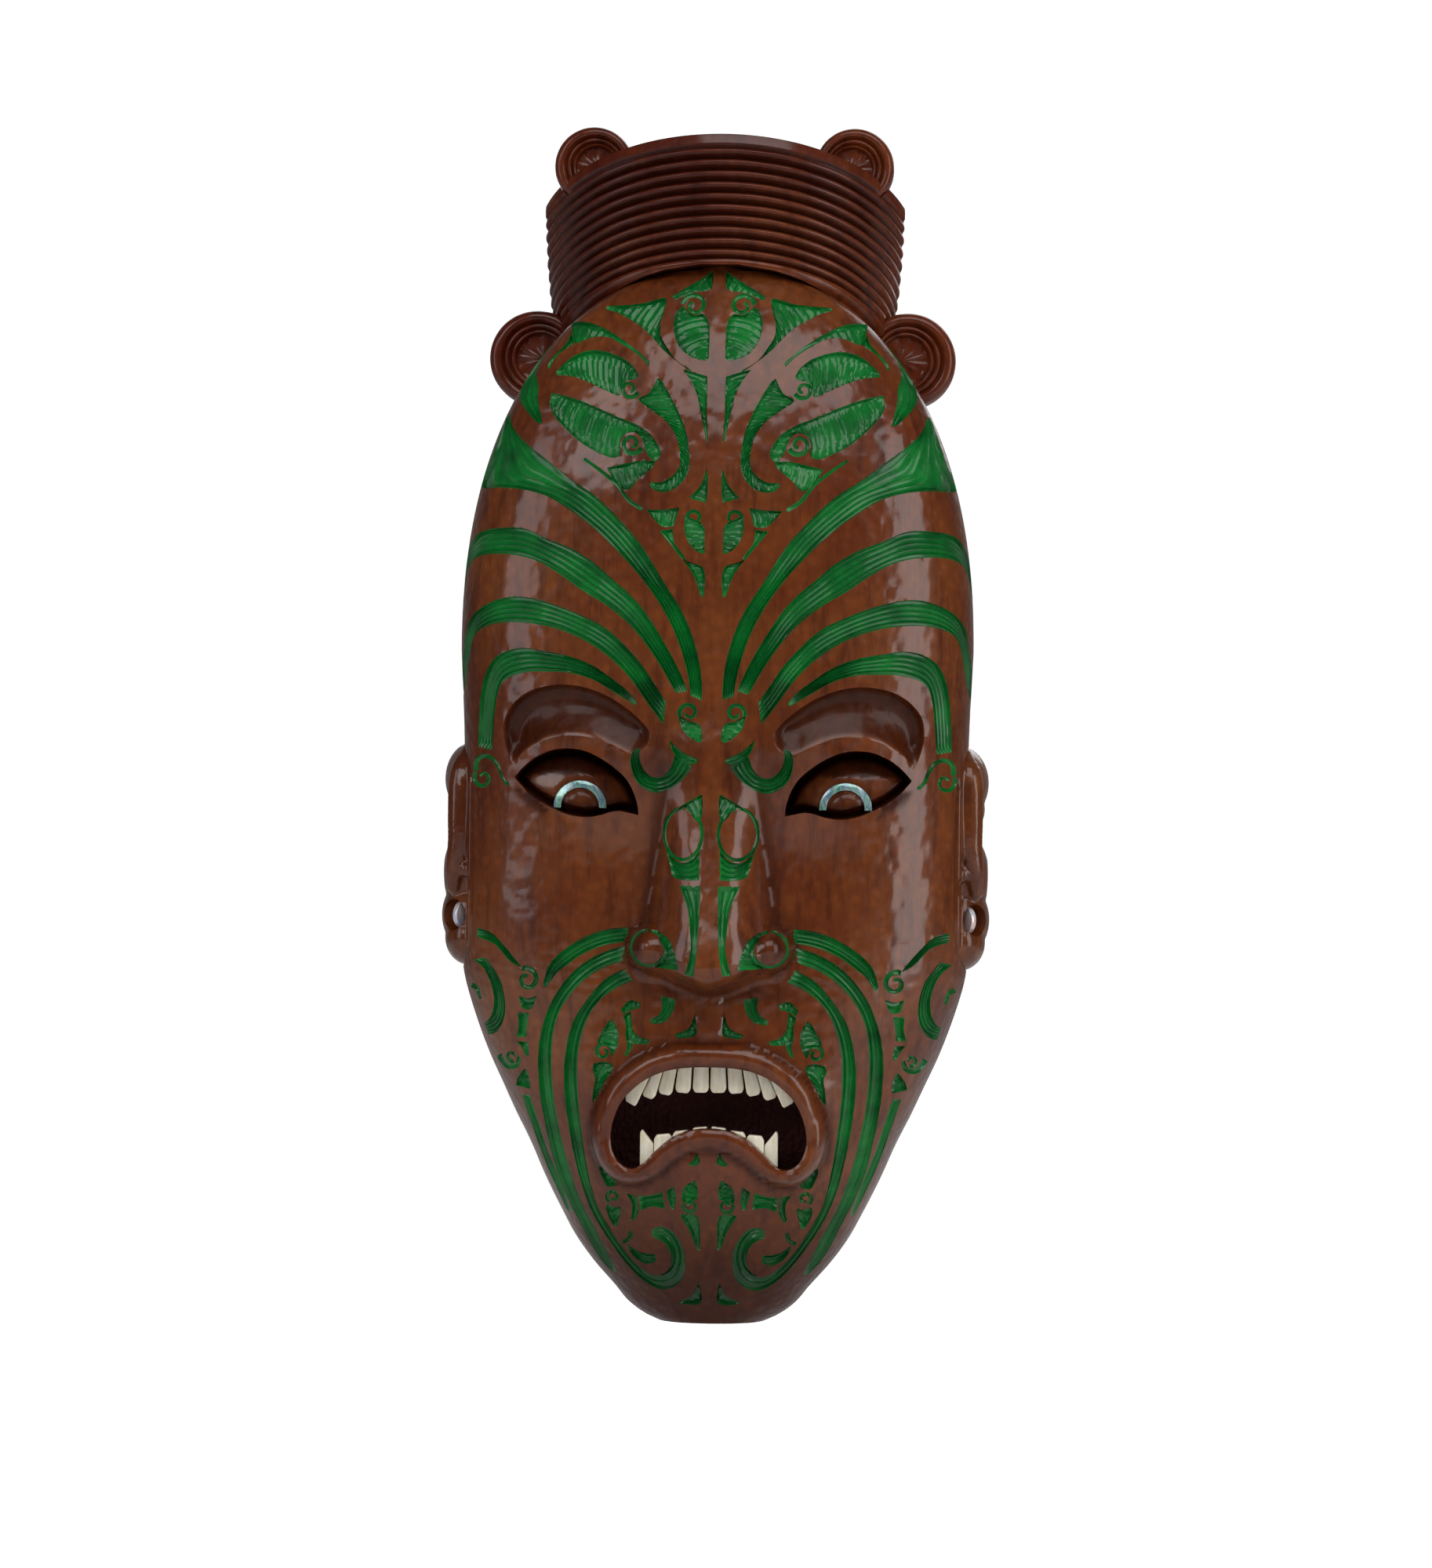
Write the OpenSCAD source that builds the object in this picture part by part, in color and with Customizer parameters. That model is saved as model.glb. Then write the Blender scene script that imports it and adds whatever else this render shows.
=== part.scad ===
// Carved wooden wall mask: a hollow-backed face with a ridged crown, scroll lugs, ears,
// shell inlays and bone teeth. Millimetres. +Z is up and the face looks along -Y.
// The origin is the middle of the hanger's entry hole, on the back plane.

/* [Face] */
// Height of the face block, from the chin to the top of the forehead
head_h = 447; // [380:1:520]
// Width of the face block at the temples
head_w = 218; // [190:1:250]
// Depth of the face at the brow, from the wall
head_d = 96; // [88:1:112]
// Depth of the straight side wall at the temples
side_d = 40; // [34:1:50]
// How far the nose stands out of the face
nose_h = 28; // [20:1:34]
// Half width of the nose across the wings
nose_half_w = 34; // [28:1:38]

/* [Hollow back] */
// Width of the solid rim that meets the wall
rim_w = 24; // [22:1:30]
// Depth of the hollow behind the face
hollow_d = 56; // [40:1:58]
// Solid left below the hollow, at the chin
chin_solid = 20; // [14:1:30]
// Solid left above the hollow, for the hanger
top_solid = 42; // [40:1:50]

/* [Eyes] */
// Height of the shell rings' centres, in percent of the face's height
eye_up = 48.9; // [47:0.1:50.5]
// Distance of each ring's centre from the middle
eye_x = 55.5; // [52:0.5:60]
// Radius of the eyeball
eyeball_r = 30; // [28:1:34]
// Depth of the eyeball's front, from the wall
eyeball_d = 79; // [76:0.5:82]
// Outer radius of a shell ring
ring_r = 11.1; // [9:0.1:12]
// Width of a shell ring's band
ring_w = 3.1; // [2:0.1:4]
// Thickness of a shell ring
ring_t = 2.6; // [1.8:0.1:3.2]

/* [Mouth] */
// Height of the mouth's middle line, in percent of the face's height
mouth_up = 18.35; // [17.5:0.05:19.5]
// Half width of the mouth opening
mouth_half_w = 41; // [36:1:43]
// Rise of the upper lip's arch above the middle line
upper_rise = 28.5; // [26:0.5:32]
// Rise of the lower lip's hump above the middle line
lower_hump = 3; // [0:0.5:5]
// Depth of the lips' corners below the middle line
lower_drop = 13; // [10:0.5:15]
// Depth of the lips' back face, where the teeth seat, from the wall
lip_back = 81; // [78:0.5:84]
// Width of the rabbet behind the lips that holds the roots
root_w = 7; // [6:0.5:8]
// Thickness of the backing board
board_t = 6; // [4:0.5:8]
// Width of the ledge that the backing board is screwed to
ledge_w = 9; // [8:0.5:11]

/* [Teeth] */
// Thickness of the teeth, front to back
tooth_t = 6; // [4:0.5:8]
// Visible height of the middle upper teeth
upper_tooth_h = 11; // [8:0.5:12]
// Height of the fangs above the lower lip's rabbet
fang_h = 15; // [12:0.5:16]
// Gap between neighbouring teeth
tooth_gap = 0.3; // [0.2:0.05:0.5]

/* [Ears] */
// Depth that the flat seat of each ear is let into the side of the face
ear_inset = 13; // [11:0.5:15]
// Height of the ears' middle, in percent of the face's height
ear_up = 44.3; // [42.5:0.1:46]
// Height of an ear
ear_h = 96; // [86:1:104]
// Depth of an ear's front edge, from the wall
ear_d = 58; // [54:1:62]
// How far each ear stands out of the side of the face
ear_out = 8; // [5:0.5:11]
// Radius of the shell discs in the lobes
disc_r = 6; // [4:0.5:7]
// Thickness of a shell disc
disc_t = 2.4; // [1.5:0.1:3]
// How far a disc's face is turned outwards
disc_turn = 53; // [45:1:60]

/* [Crown and lugs] */
// Height of the crown band above the forehead, at the middle
crown_h = 58; // [50:1:66]
// Radius of the crown's rings at its top edge
crown_r = 82.5; // [76:0.5:90]
// How much narrower the rings are at the crown's foot
crown_taper = 11; // [6:1:14]
// Distance of the lowest ring's centre in front of the wall
crown_set = 4; // [0:0.5:10]
// Lean of the crown's rings, which makes them arch
crown_lean = 28; // [20:1:32]
// Number of carved ridges round the crown
ridge_count = 10; // [8:1:12]
// Depth of the grooves between the ridges
groove_d = 1.8; // [1:0.1:2.5]
// Radius of the two upper scroll lugs
top_lug_r = 17; // [14:0.5:19]
// Radius of the two side scroll lugs
side_lug_r = 20.5; // [17:0.5:22]
// Thickness of the scroll lugs
lug_t = 16; // [12:1:20]

/* [Fixings] */
// Radius of the wooden dowels
dowel_r = 3; // [2.5:0.1:3.5]
// Length of the wooden dowels
dowel_len = 20; // [16:1:22]
// Radius of the hanger's entry hole
entry_r = 4.5; // [4:0.1:5.5]
// Radius of the hanger's slot
slot_r = 2.2; // [1.8:0.1:2.6]
// Rise of the slot above the entry hole
slot_rise = 9; // [8:0.5:11]
// Thickness of the hanger plate
plate_t = 1.6; // [1.2:0.1:2.5]
// Depth of the pocket for the wall screw's head
pocket_d = 9; // [7:0.5:11]
// Radius of the small brass screws' shanks
screw_r = 1.5; // [1.2:0.1:1.8]

/* [Fits] */
// Clearance between pieces that fit into each other
fit = 0.15; // [0.1:0.05:0.3]

/* [Hidden] */
$fn = 64;

// Heights above the chin, and distances from the middle
hang_z = head_h - top_solid / 2 - 4;
eye_z = head_h * eye_up / 100;
mouth_z = head_h * mouth_up / 100;
ear_z = head_h * ear_up / 100;
ear_seat_x = head_w / 2 - ear_inset;
ear_out_x = head_w / 2 + ear_out;

// Outline of the face block: [height, half width], as shares of the whole
outline = [[0, 0.2], [0.006, 0.26], [0.022, 0.35], [0.045, 0.435], [0.09, 0.555],
    [0.156, 0.685], [0.224, 0.823], [0.291, 0.932], [0.345, 0.99], [0.45, 1], [0.64, 1],
    [0.736, 0.982], [0.81, 0.918], [0.87, 0.815], [0.93, 0.64], [0.965, 0.47], [0.986, 0.3],
    [1, 0.08]];
// Depth down the middle of the face: [height, depth], as shares of head_h and head_d
profile = [[0, 0.5], [0.06, 0.7], [0.15, 0.84], [0.3, 0.92], [0.45, 0.95], [0.58, 0.99],
    [0.7, 1], [0.82, 0.95], [0.92, 0.82], [1, 0.6]];
// Share of side_d that the straight side wall has: [height, share]
wall_profile = [[0, 0.6], [0.25, 0.78], [0.5, 0.95], [0.75, 1.05], [1, 1.3]];
// Height of the nose above the face: [height in mm below the tip's level, share of nose_h]
nose_profile = [[-12, 0], [-6, 0.45], [0, 1], [10, 1], [30, 0.8], [55, 0.42], [75, 0.12], [95, 0]];
nose_z = head_h * 0.349;

body_rows = 60;
front_cols = 32;
hollow_cols = 12;

// ---- shared curves ----

// Smooth value at t of a table of [place, value] pairs
function seg(t, p, i = 0) = i >= len(p) - 2 || t < p[i + 1][0] ? i : seg(t, p, i + 1);
function slope(p, i) = i <= 0 ? (p[1][1] - p[0][1]) / (p[1][0] - p[0][0])
    : i >= len(p) - 1 ? (p[i][1] - p[i - 1][1]) / (p[i][0] - p[i - 1][0])
    : (p[i + 1][1] - p[i - 1][1]) / (p[i + 1][0] - p[i - 1][0]);
function hermite(u, a, b, ma, mb) = a * (2 * pow(u, 3) - 3 * u * u + 1)
    + ma * (pow(u, 3) - 2 * u * u + u) + b * (3 * u * u - 2 * pow(u, 3)) + mb * (pow(u, 3) - u * u);
function at(p, t) = let (c = max(p[0][0], min(p[len(p) - 1][0], t)), i = seg(c, p),
    w = p[i + 1][0] - p[i][0])
    hermite((c - p[i][0]) / w, p[i][1], p[i + 1][1], slope(p, i) * w, slope(p, i + 1) * w);

function half_width(z) = head_w / 2 * at(outline, z / head_h);
function middle_depth(z) = head_d * at(profile, z / head_h);
function wall_depth(z) = side_d * at(wall_profile, z / head_h);
function gauss(x, z, cx, cz, rx, rz) = exp(-pow((x - cx) / rx, 2) - pow((z - cz) / rz, 2));

// Smooth dome of the face at a point, before its features
function dome(x, z) = let (w = half_width(z), s = wall_depth(z), u = min(1, abs(x) / w))
    s + (middle_depth(z) - s) * pow(1 - pow(u, 2.4), 0.4545);
function nose(x, z) = let (w = nose_half_w * (z > nose_z + 15 ? max(0.4, 1 - (z - nose_z - 15) / 150) : 1),
    u = min(1, abs(x) / w))
    nose_h * at(nose_profile, z - nose_z) * pow(1 - u * u, 1.2);
function socket(x, z) = -10 * gauss(abs(x), z, eye_x, eye_z + 34, 26, 14);
function lip_ring(x, z) = let (q = norm([x / (mouth_half_w + 6), (z - mouth_z - 8) / (upper_rise + 4)]))
    5 * exp(-pow((q - 1) / 0.2, 2));
function face(x, z) = dome(x, z) + nose(x, z) + socket(x, z) + lip_ring(x, z);

// ---- face block ----

function row_z(j) = head_h * j / body_rows;
// Across a row: up the side wall, over the face by equal angles, down the other wall
function row_points(z) = let (w = half_width(z), s = wall_depth(z)) concat(
    [[-w, 0, z]],
    [for (i = [0:front_cols]) let (a = -90 + 180 * i / front_cols, x = w * sin(a))
        [x, -(abs(a) == 90 ? s : face(x, z)), z]],
    [[w, 0, z]]);

function hollow_row_z(j) = chin_solid + (head_h - top_solid - chin_solid) * j / body_rows;
function hollow_depth(z) = let (mid = (head_h - top_solid + chin_solid) / 2,
    half = (head_h - top_solid - chin_solid) / 2, u = min(1, abs(z - mid) / half))
    6 + (hollow_d - 6) * pow(1 - pow(u, 4), 0.25);
function hollow_points(z) = let (w = max(8, half_width(z) - rim_w), d = hollow_depth(z))
    [for (i = [0:hollow_cols]) let (a = -90 + 180 * i / hollow_cols, u = sin(a))
        [w * u, -d * pow(max(0, 1 - pow(abs(u), 4)), 0.25), z]];

outer_n = front_cols + 3;
hollow_n = hollow_cols + 1;
shell_points = concat([for (j = [0:body_rows]) each row_points(row_z(j))],
    [for (j = [0:body_rows]) each hollow_points(hollow_row_z(j))]);
hollow_at = (body_rows + 1) * outer_n;
function quad(a, b, c, d) = [[a, b, c], [a, c, d]];
shell_faces = concat(
    [for (j = [0:body_rows - 1], i = [0:outer_n - 2]) let (a = j * outer_n + i)
        each quad(a, a + outer_n, a + outer_n + 1, a + 1)],
    [for (j = [0:body_rows - 1], i = [0:hollow_n - 2]) let (a = hollow_at + j * hollow_n + i)
        each quad(a, a + 1, a + hollow_n + 1, a + hollow_n)],
    // chin and forehead ends of the block, and of the hollow
    [[for (i = [0:outer_n - 1]) i]],
    [[for (i = [outer_n - 1:-1:0]) body_rows * outer_n + i]],
    [[for (i = [hollow_n - 1:-1:0]) hollow_at + i]],
    [[for (i = [0:hollow_n - 1]) hollow_at + body_rows * hollow_n + i]],
    // rim that meets the wall
    [for (j = [0:body_rows - 1]) let (o = j * outer_n, h = hollow_at + j * hollow_n)
        each quad(o, h, h + hollow_n, o + outer_n)],
    [for (j = [0:body_rows - 1])
        let (o = j * outer_n + outer_n - 1, h = hollow_at + j * hollow_n + hollow_n - 1)
        each quad(o, o + outer_n, h + hollow_n, h)],
    quad(0, outer_n - 1, hollow_at + hollow_n - 1, hollow_at),
    let (o = body_rows * outer_n, h = hollow_at + body_rows * hollow_n)
        quad(o, h, h + hollow_n - 1, o + outer_n - 1));

// Prism along Y over an outline drawn in X and Z, between two depths from the wall
module front_prism(deep, shallow) {
    translate([0, -shallow, 0]) rotate([90, 0, 0]) linear_extrude(deep - shallow) children();
}

// Height of the upper and of the lower lip's edge at a place across the mouth
function upper_lip(x) = mouth_z + upper_rise * sqrt(max(0, 1 - pow(x / mouth_half_w, 2)));
function lower_lip(x) = let (u = min(1, abs(x) / mouth_half_w))
    mouth_z + (lower_hump + lower_drop) * (1 + cos(180 * min(1, u / 0.78))) / 2
    - lower_drop * sqrt(max(0, 1 - pow(max(0, u - 0.78) / 0.22, 2)));
mouth_steps = 24;
mouth_outline = concat(
    [for (i = [0:mouth_steps]) let (x = -mouth_half_w * cos(180 * i / mouth_steps)) [x, upper_lip(x)]],
    [for (i = [1:mouth_steps - 1]) let (x = mouth_half_w * cos(180 * i / mouth_steps)) [x, lower_lip(x)]]);

// Rounded plate outline round the mouth, grown by a width
module mouth_plate(grow) {
    low = mouth_z - lower_drop - grow;
    high = mouth_z + upper_rise + grow;
    half = mouth_half_w + grow;
    r = (high - low) / 2;
    for (s = [-1, 1]) translate([s * (half - r), (low + high) / 2]) circle(r);
    translate([-(half - r), low]) square([2 * (half - r), high - low]);
}

// Almond of an eye opening, drawn round the ring's centre for the viewer's right side
module almond() {
    eye_half = 27;
    tilt = 16;
    up = 17.5;
    low = 8.8;
    r_up = (eye_half * eye_half + up * up) / (2 * up);
    r_low = (eye_half * eye_half + low * low) / (2 * low);
    translate([eye_x + 1.5, eye_z + 5.2]) rotate(tilt) intersection() {
        translate([0, up - r_up]) circle(r_up);
        translate([0, r_low - low]) circle(r_low);
    }
}

ring_seat = eyeball_d - ring_t - 0.8;
module eye_opening() {
    difference() {
        front_prism(head_d + 6, eyeball_d - 14) almond();
        translate([eye_x, eyeball_r - eyeball_d, eye_z]) sphere(eyeball_r);
    }
    // groove that the shell ring is glued into
    front_prism(eyeball_d + 1, ring_seat) translate([eye_x, eye_z]) difference() {
        circle(ring_r + fit);
        circle(ring_r - ring_w - fit);
        translate([-ring_r * 2, -ring_r * 2 - 1.5]) square([ring_r * 4, ring_r * 2]);
    }
}

// Rounded outline of an ear's root, seen from the side, standing on the seat's plane
module ear_root(grow, thick) {
    r = 22 + grow;
    front = ear_d - 22;
    back = 6 + 22;
    translate([ear_seat_x, 0, ear_z]) rotate([90, 0, 90]) linear_extrude(thick) {
        for (y = [-front, -back], s = [-1, 1])
            translate([y, s * (ear_h / 2 - 22)]) circle(r);
        translate([-front, -ear_h / 2 - grow]) square([front - back, ear_h + 2 * grow]);
        translate([-front - r, 22 - ear_h / 2]) square([front - back + 2 * r, ear_h - 44]);
    }
}

module both_sides() {
    children();
    mirror([1, 0, 0]) children();
}

// Places a child with its Z axis out of a side wall
module side_dowel_places() {
    for (dz = [-20, 20]) translate([ear_seat_x - 8, -30, ear_z + dz])
        rotate([0, 90, 0]) children();
}

side_lug_z = head_h * 0.92;
side_lug_x = half_width(side_lug_z) + side_lug_r * 0.3;
top_lug_x = 56;
top_lug_z = head_h + crown_h * 0.81;
lug_back = 3;

module side_lug_dowel_place() {
    translate([side_lug_x - side_lug_r - dowel_len / 2, -lug_back - lug_t / 2, side_lug_z])
        rotate([0, 90, 0]) children();
}

crown_dowel_x = [-36, 0, 36];
crown_dowel_y = -24;
// Height of the forehead's outline at a distance from the middle
function dome_top(x, low = head_h * 0.7, high = head_h, n = 20) = let (m = (low + high) / 2)
    n == 0 ? m : half_width(m) > abs(x) ? dome_top(x, m, high, n - 1) : dome_top(x, low, m, n - 1);
module crown_dowel_places() {
    for (x = crown_dowel_x)
        translate([x, crown_dowel_y, dome_top(x) - dowel_len / 2]) children();
}

board_ledge = lip_back - 18;
module backing_screw_places() {
    for (sx = [-1, 1], sz = [-1, 1])
        translate([sx * (mouth_half_w + 4), -board_ledge + board_t,
            mouth_z + (upper_rise - lower_drop) / 2 + sz * (upper_rise + lower_drop) * 0.52])
            rotate([90, 0, 0]) children();
}
backing_screw_len = 13;

module hanger_screw_places() {
    for (s = [-1, 1]) translate([s * 17, 0, hang_z + slot_rise / 2]) rotate([90, 0, 0]) children();
}
hanger_screw_len = 14;
plate_w = 46;
plate_h = 24;

module hanger_outline(grow) {
    translate([0, hang_z + slot_rise / 2]) {
        for (s = [-1, 1]) translate([s * (plate_w - plate_h) / 2, 0]) circle(plate_h / 2 + grow);
        square([plate_w - plate_h, plate_h + 2 * grow], center = true);
    }
}

module mask_body() {
    color("saddlebrown") difference() {
        polyhedron(points = shell_points, faces = shell_faces, convexity = 10);
        // mouth, the rabbet for the roots, and the ledge for the backing board
        front_prism(head_d + 20, board_ledge - 1) polygon(mouth_outline);
        front_prism(lip_back, board_ledge - 1) mouth_plate(root_w);
        front_prism(board_ledge, 0) mouth_plate(root_w + ledge_w + fit);
        both_sides() eye_opening();
        both_sides() ear_root(fit, head_w);
        both_sides() side_dowel_places() cylinder(r = dowel_r + fit / 2, h = dowel_len);
        // sockets for the side scrolls, and their dowels
        both_sides() front_prism(lug_back + lug_t + fit, -1)
            translate([side_lug_x, side_lug_z]) circle(side_lug_r + fit);
        both_sides() side_lug_dowel_place() cylinder(r = dowel_r + fit / 2, h = dowel_len);
        crown_dowel_places() cylinder(r = dowel_r + fit / 2, h = dowel_len);
        // seat of the hanger plate, pocket for the wall screw's head, pilot holes
        front_prism(plate_t, -1) hanger_outline(fit);
        front_prism(plate_t + pocket_d, 0) {
            for (dz = [0, slot_rise]) translate([0, hang_z + dz]) circle(entry_r + 1);
            translate([-entry_r - 1, hang_z]) square([2 * entry_r + 2, slot_rise]);
        }
        hanger_screw_places() cylinder(r = screw_r + fit / 2, h = hanger_screw_len);
        backing_screw_places() cylinder(r = screw_r + fit / 2, h = backing_screw_len);
    }
}

module mouth_backing() {
    color("#2b1512") difference() {
        front_prism(board_ledge - 0.05, board_ledge - board_t) mouth_plate(root_w + ledge_w);
        backing_screw_places() {
            translate([0, 0, -0.1]) cylinder(r = screw_r + fit / 2, h = board_t + 1);
            translate([0, 0, -0.1]) cylinder(r1 = 2 * screw_r + fit, r2 = screw_r + fit / 2, h = 2);
        }
    }
}

// ---- crown and scrolls ----

// Half section of the ridged crown: [radius, height] round its leaning axis. The foot
// starts so that the lowest ring meets the top of the forehead.
crown_foot_z = head_h - (crown_r - crown_taper) * sin(crown_lean);
crown_len = (head_h + crown_h - crown_foot_z - crown_r * sin(crown_lean)) / cos(crown_lean);
rim = 4;
ridge_pitch = (crown_len - 2 * rim) / ridge_count;
function crown_edge(v) = crown_r - crown_taper * (1 - v / crown_len);
crown_section = concat([[0, -30], [crown_edge(0) - 4, -30], [crown_edge(0) - 3, 0],
    [crown_edge(0), 0.6], [crown_edge(rim), rim - 0.4]],
    [for (k = [0:ridge_count - 1]) let (v = rim + k * ridge_pitch) each [
        [crown_edge(v) - groove_d, v], [crown_edge(v) - groove_d, v + ridge_pitch * 0.25],
        [crown_edge(v) + 0.4, v + ridge_pitch * 0.5], [crown_edge(v) + 0.2, v + ridge_pitch * 0.85]]],
    [[crown_edge(crown_len - rim) - groove_d, crown_len - rim],
        [crown_edge(crown_len - rim) - groove_d, crown_len - rim + 1],
        [crown_r, crown_len - rim + 1.6], [crown_r, crown_len - 1], [crown_r - 1, crown_len],
        [0, crown_len]]);

// Room for the forehead, which the crown is coped to
module forehead_prism() {
    pts = [for (j = [0:40]) let (z = head_h * (0.7 + 0.3 * j / 40)) [half_width(z) + fit, z + fit]];
    front_prism(head_d, -1) polygon(concat(pts, [for (j = [40:-1:0]) [-pts[j][0], pts[j][1]]]));
}

module top_lug_dowel_place() {
    translate([top_lug_x, -lug_back - lug_t / 2, top_lug_z - top_lug_r - 9]) children();
}

module crown_band() {
    color("#4a1c10") difference() {
        translate([0, -crown_set, crown_foot_z]) rotate([-crown_lean, 0, 0])
            rotate_extrude($fn = 96) polygon(crown_section);
        // flat back on the wall, and nothing below the lowest seam
        translate([-2 * crown_r, 0, 0]) cube([4 * crown_r, 3 * crown_r, 2 * head_h]);
        translate([-2 * crown_r, -2 * crown_r, 0]) cube([4 * crown_r, 4 * crown_r, side_lug_z + 2]);
        forehead_prism();
        both_sides() front_prism(lug_back + lug_t + fit, -1)
            translate([top_lug_x, top_lug_z]) circle(top_lug_r + fit);
        both_sides() front_prism(lug_back + lug_t + fit, -1)
            translate([side_lug_x, side_lug_z]) circle(side_lug_r + fit);
        crown_dowel_places() cylinder(r = dowel_r + fit / 2, h = dowel_len);
        both_sides() top_lug_dowel_place() cylinder(r = dowel_r + fit / 2, h = dowel_len);
    }
}

// Coiled scroll end: a disc with a rounded rim, a hollow and a raised middle
module scroll(r) {
    rotate([90, 0, 0]) rotate_extrude() polygon([[0, lug_back], [r - 1.5, lug_back], [r, lug_back + 2],
        [r, lug_back + lug_t - 4], [r - 1.5, lug_back + lug_t - 1.2], [r * 0.84, lug_back + lug_t],
        [r * 0.74, lug_back + lug_t - 1], [r * 0.66, lug_back + lug_t - 3.5],
        [r * 0.5, lug_back + lug_t - 3.2], [r * 0.25, lug_back + lug_t - 1.6],
        [0, lug_back + lug_t - 1]]);
}

module side_scroll() {
    color("#4a1c10") difference() {
        translate([side_lug_x, 0, side_lug_z]) scroll(side_lug_r);
        side_lug_dowel_place() cylinder(r = dowel_r + fit / 2, h = dowel_len);
    }
}

module top_scroll() {
    color("#5a2416") difference() {
        translate([top_lug_x, 0, top_lug_z]) scroll(top_lug_r);
        top_lug_dowel_place() cylinder(r = dowel_r + fit / 2, h = dowel_len);
    }
}

// ---- ears ----

disc_x = ear_out_x - 11.2;
disc_y = 14 - ear_d;
disc_z = ear_z - ear_h * 0.27;
module disc_place() {
    translate([disc_x, disc_y, disc_z]) rotate([0, 0, 90 - disc_turn]) rotate([0, -90, 0])
        mirror([0, 0, 1]) children();
}

// Smooth lobe of an ear between balls: each [x inset from the outside, depth, height, sizes]
module ear_lobe(balls) {
    hull() for (b = balls)
        translate([ear_out_x - b[3][0] - b[0], -b[1], b[2]]) scale(b[3]) sphere(1, $fn = 28);
}

module ear() {
    top = ear_z + ear_h / 2;
    foot = ear_z - ear_h / 2;
    color("#6b2c16") difference() {
        union() {
            ear_root(-fit, 8);
            // upper and lower folds, and the roll down the front
            ear_lobe([[1, 32, top - 13, [11, 22, 12]], [2, 36, top - 26, [10, 15, 9]]]);
            ear_lobe([[0, 30, foot + 42, [11, 19, 13]], [0, 33, foot + 20, [12, 17, 13]],
                [5, 41, foot + 12.5, [9, 9, 10]]]);
            ear_lobe([[5, 44.5, top - 16, [8, 11, 8.5]], [4, 48, foot + 56, [6, 9, 6]],
                [3, 48, foot + 38, [5, 8, 5]]]);
            disc_place() translate([0, 0, -10]) cylinder(r = disc_r + 3, h = 12);
        }
        // flat inner side, and the shell disc's seat
        translate([-head_w, -head_d, 0]) cube([head_w + ear_seat_x + 0.05, head_d, head_h]);
        disc_place() translate([0, 0, 2 - disc_t]) cylinder(r = disc_r + fit, h = 10);
        side_dowel_places() cylinder(r = dowel_r + fit / 2, h = dowel_len);
    }
}

module ear_disc() {
    color("#b9b6cf") disc_place() translate([0, 0, 2 - disc_t]) cylinder(r = disc_r, h = disc_t);
}

module eye_ring() {
    color("#8fc0a8") translate([eye_x, -ring_seat - 0.05, eye_z]) rotate([90, 0, 0])
        rotate_extrude(angle = 186, start = -3) translate([ring_r - ring_w, 0]) square([ring_w, ring_t]);
}

// ---- teeth ----

// Each upper tooth: [place of its middle across the mouth, width, tilt]
upper_row = [[3.5, 7, 1], [10.4, 6.7, 5], [16.8, 6.3, 12], [22.8, 6, 20], [29, 6.6, 30]];
// Each lower tooth, from the middle outwards, and the fang
lower_row = [[3.9, 7.6], [11.6, 7.6], [19.3, 7.6]];
fang_x = 26;
fang_w = 5.6;

module tooth_solid() {
    front_prism(lip_back - 0.1, lip_back - tooth_t) children();
}

// Keeps a tooth's root inside the rabbet behind the lips
module in_rabbet() {
    intersection() {
        children();
        mouth_plate(root_w - fit);
    }
}

// Line between tooth k and the next one out: its place on the lip, and its tilt
function divider(k) = let (a = upper_row[k - 1], b = upper_row[k],
    x = (a[0] + a[1] / 2 + b[0] - b[1] / 2) / 2) [x, upper_lip(x), (a[2] + b[2]) / 2];

// Keeps a tooth on its own side of a line
module beside(line, side) {
    intersection() {
        children();
        translate([line[0], line[1]]) rotate(line[2]) translate([side * (25 + tooth_gap / 2), 0])
            square([50, 80], center = true);
    }
}

module upper_tooth(k) {
    t = upper_row[k - 1];
    w = t[1];
    drop = upper_tooth_h - 0.09 * t[0];
    color("ivory") tooth_solid() in_rabbet() beside(k == 1 ? [0, upper_lip(0), 0] : divider(k - 1), 1)
        beside(k == len(upper_row) ? [t[0] + w, upper_lip(t[0]), t[2]] : divider(k), -1)
        translate([t[0], upper_lip(t[0])]) rotate(t[2])
            polygon([[-w / 2 + 1.2, -drop], [w / 2 - 1.2, -drop], [w / 2 - tooth_gap / 2, -drop + 1.6],
                [w / 2 - tooth_gap / 2, 0], [w / 2 - tan(5) * root_w, root_w],
                [-w / 2 + tan(5) * root_w, root_w], [-w / 2 + tooth_gap / 2, 0],
                [-w / 2 + tooth_gap / 2, -drop + 1.6]]);
}

lower_root = mouth_z - lower_drop - 4;
module lower_tooth(k) {
    t = lower_row[k - 1];
    w = t[1] - tooth_gap;
    top = mouth_z + 4.2 - 0.2 * t[0];
    color("ivory") tooth_solid() in_rabbet() polygon([[t[0] - w / 2, lower_root],
        [t[0] + w / 2, lower_root], [t[0] + w / 2, top - 2.2], [t[0] + w / 2 - 1, top - 0.5],
        [t[0] - w / 2 + 1, top], [t[0] - w / 2, top - 1.4]]);
}

module lower_fang() {
    color("ivory") tooth_solid() in_rabbet() polygon([[fang_x - fang_w / 2, lower_root],
        [fang_x + fang_w / 2, lower_root], [fang_x + fang_w / 2, lower_root + fang_h + 3],
        [fang_x + fang_w / 2 - 0.8, lower_root + fang_h + 4], [fang_x - fang_w / 2, lower_root + fang_h - 2]]);
}

// ---- fixings ----

module dowel() {
    translate([0, 0, 0.3]) cylinder(r = dowel_r, h = dowel_len - 0.6);
}

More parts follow.
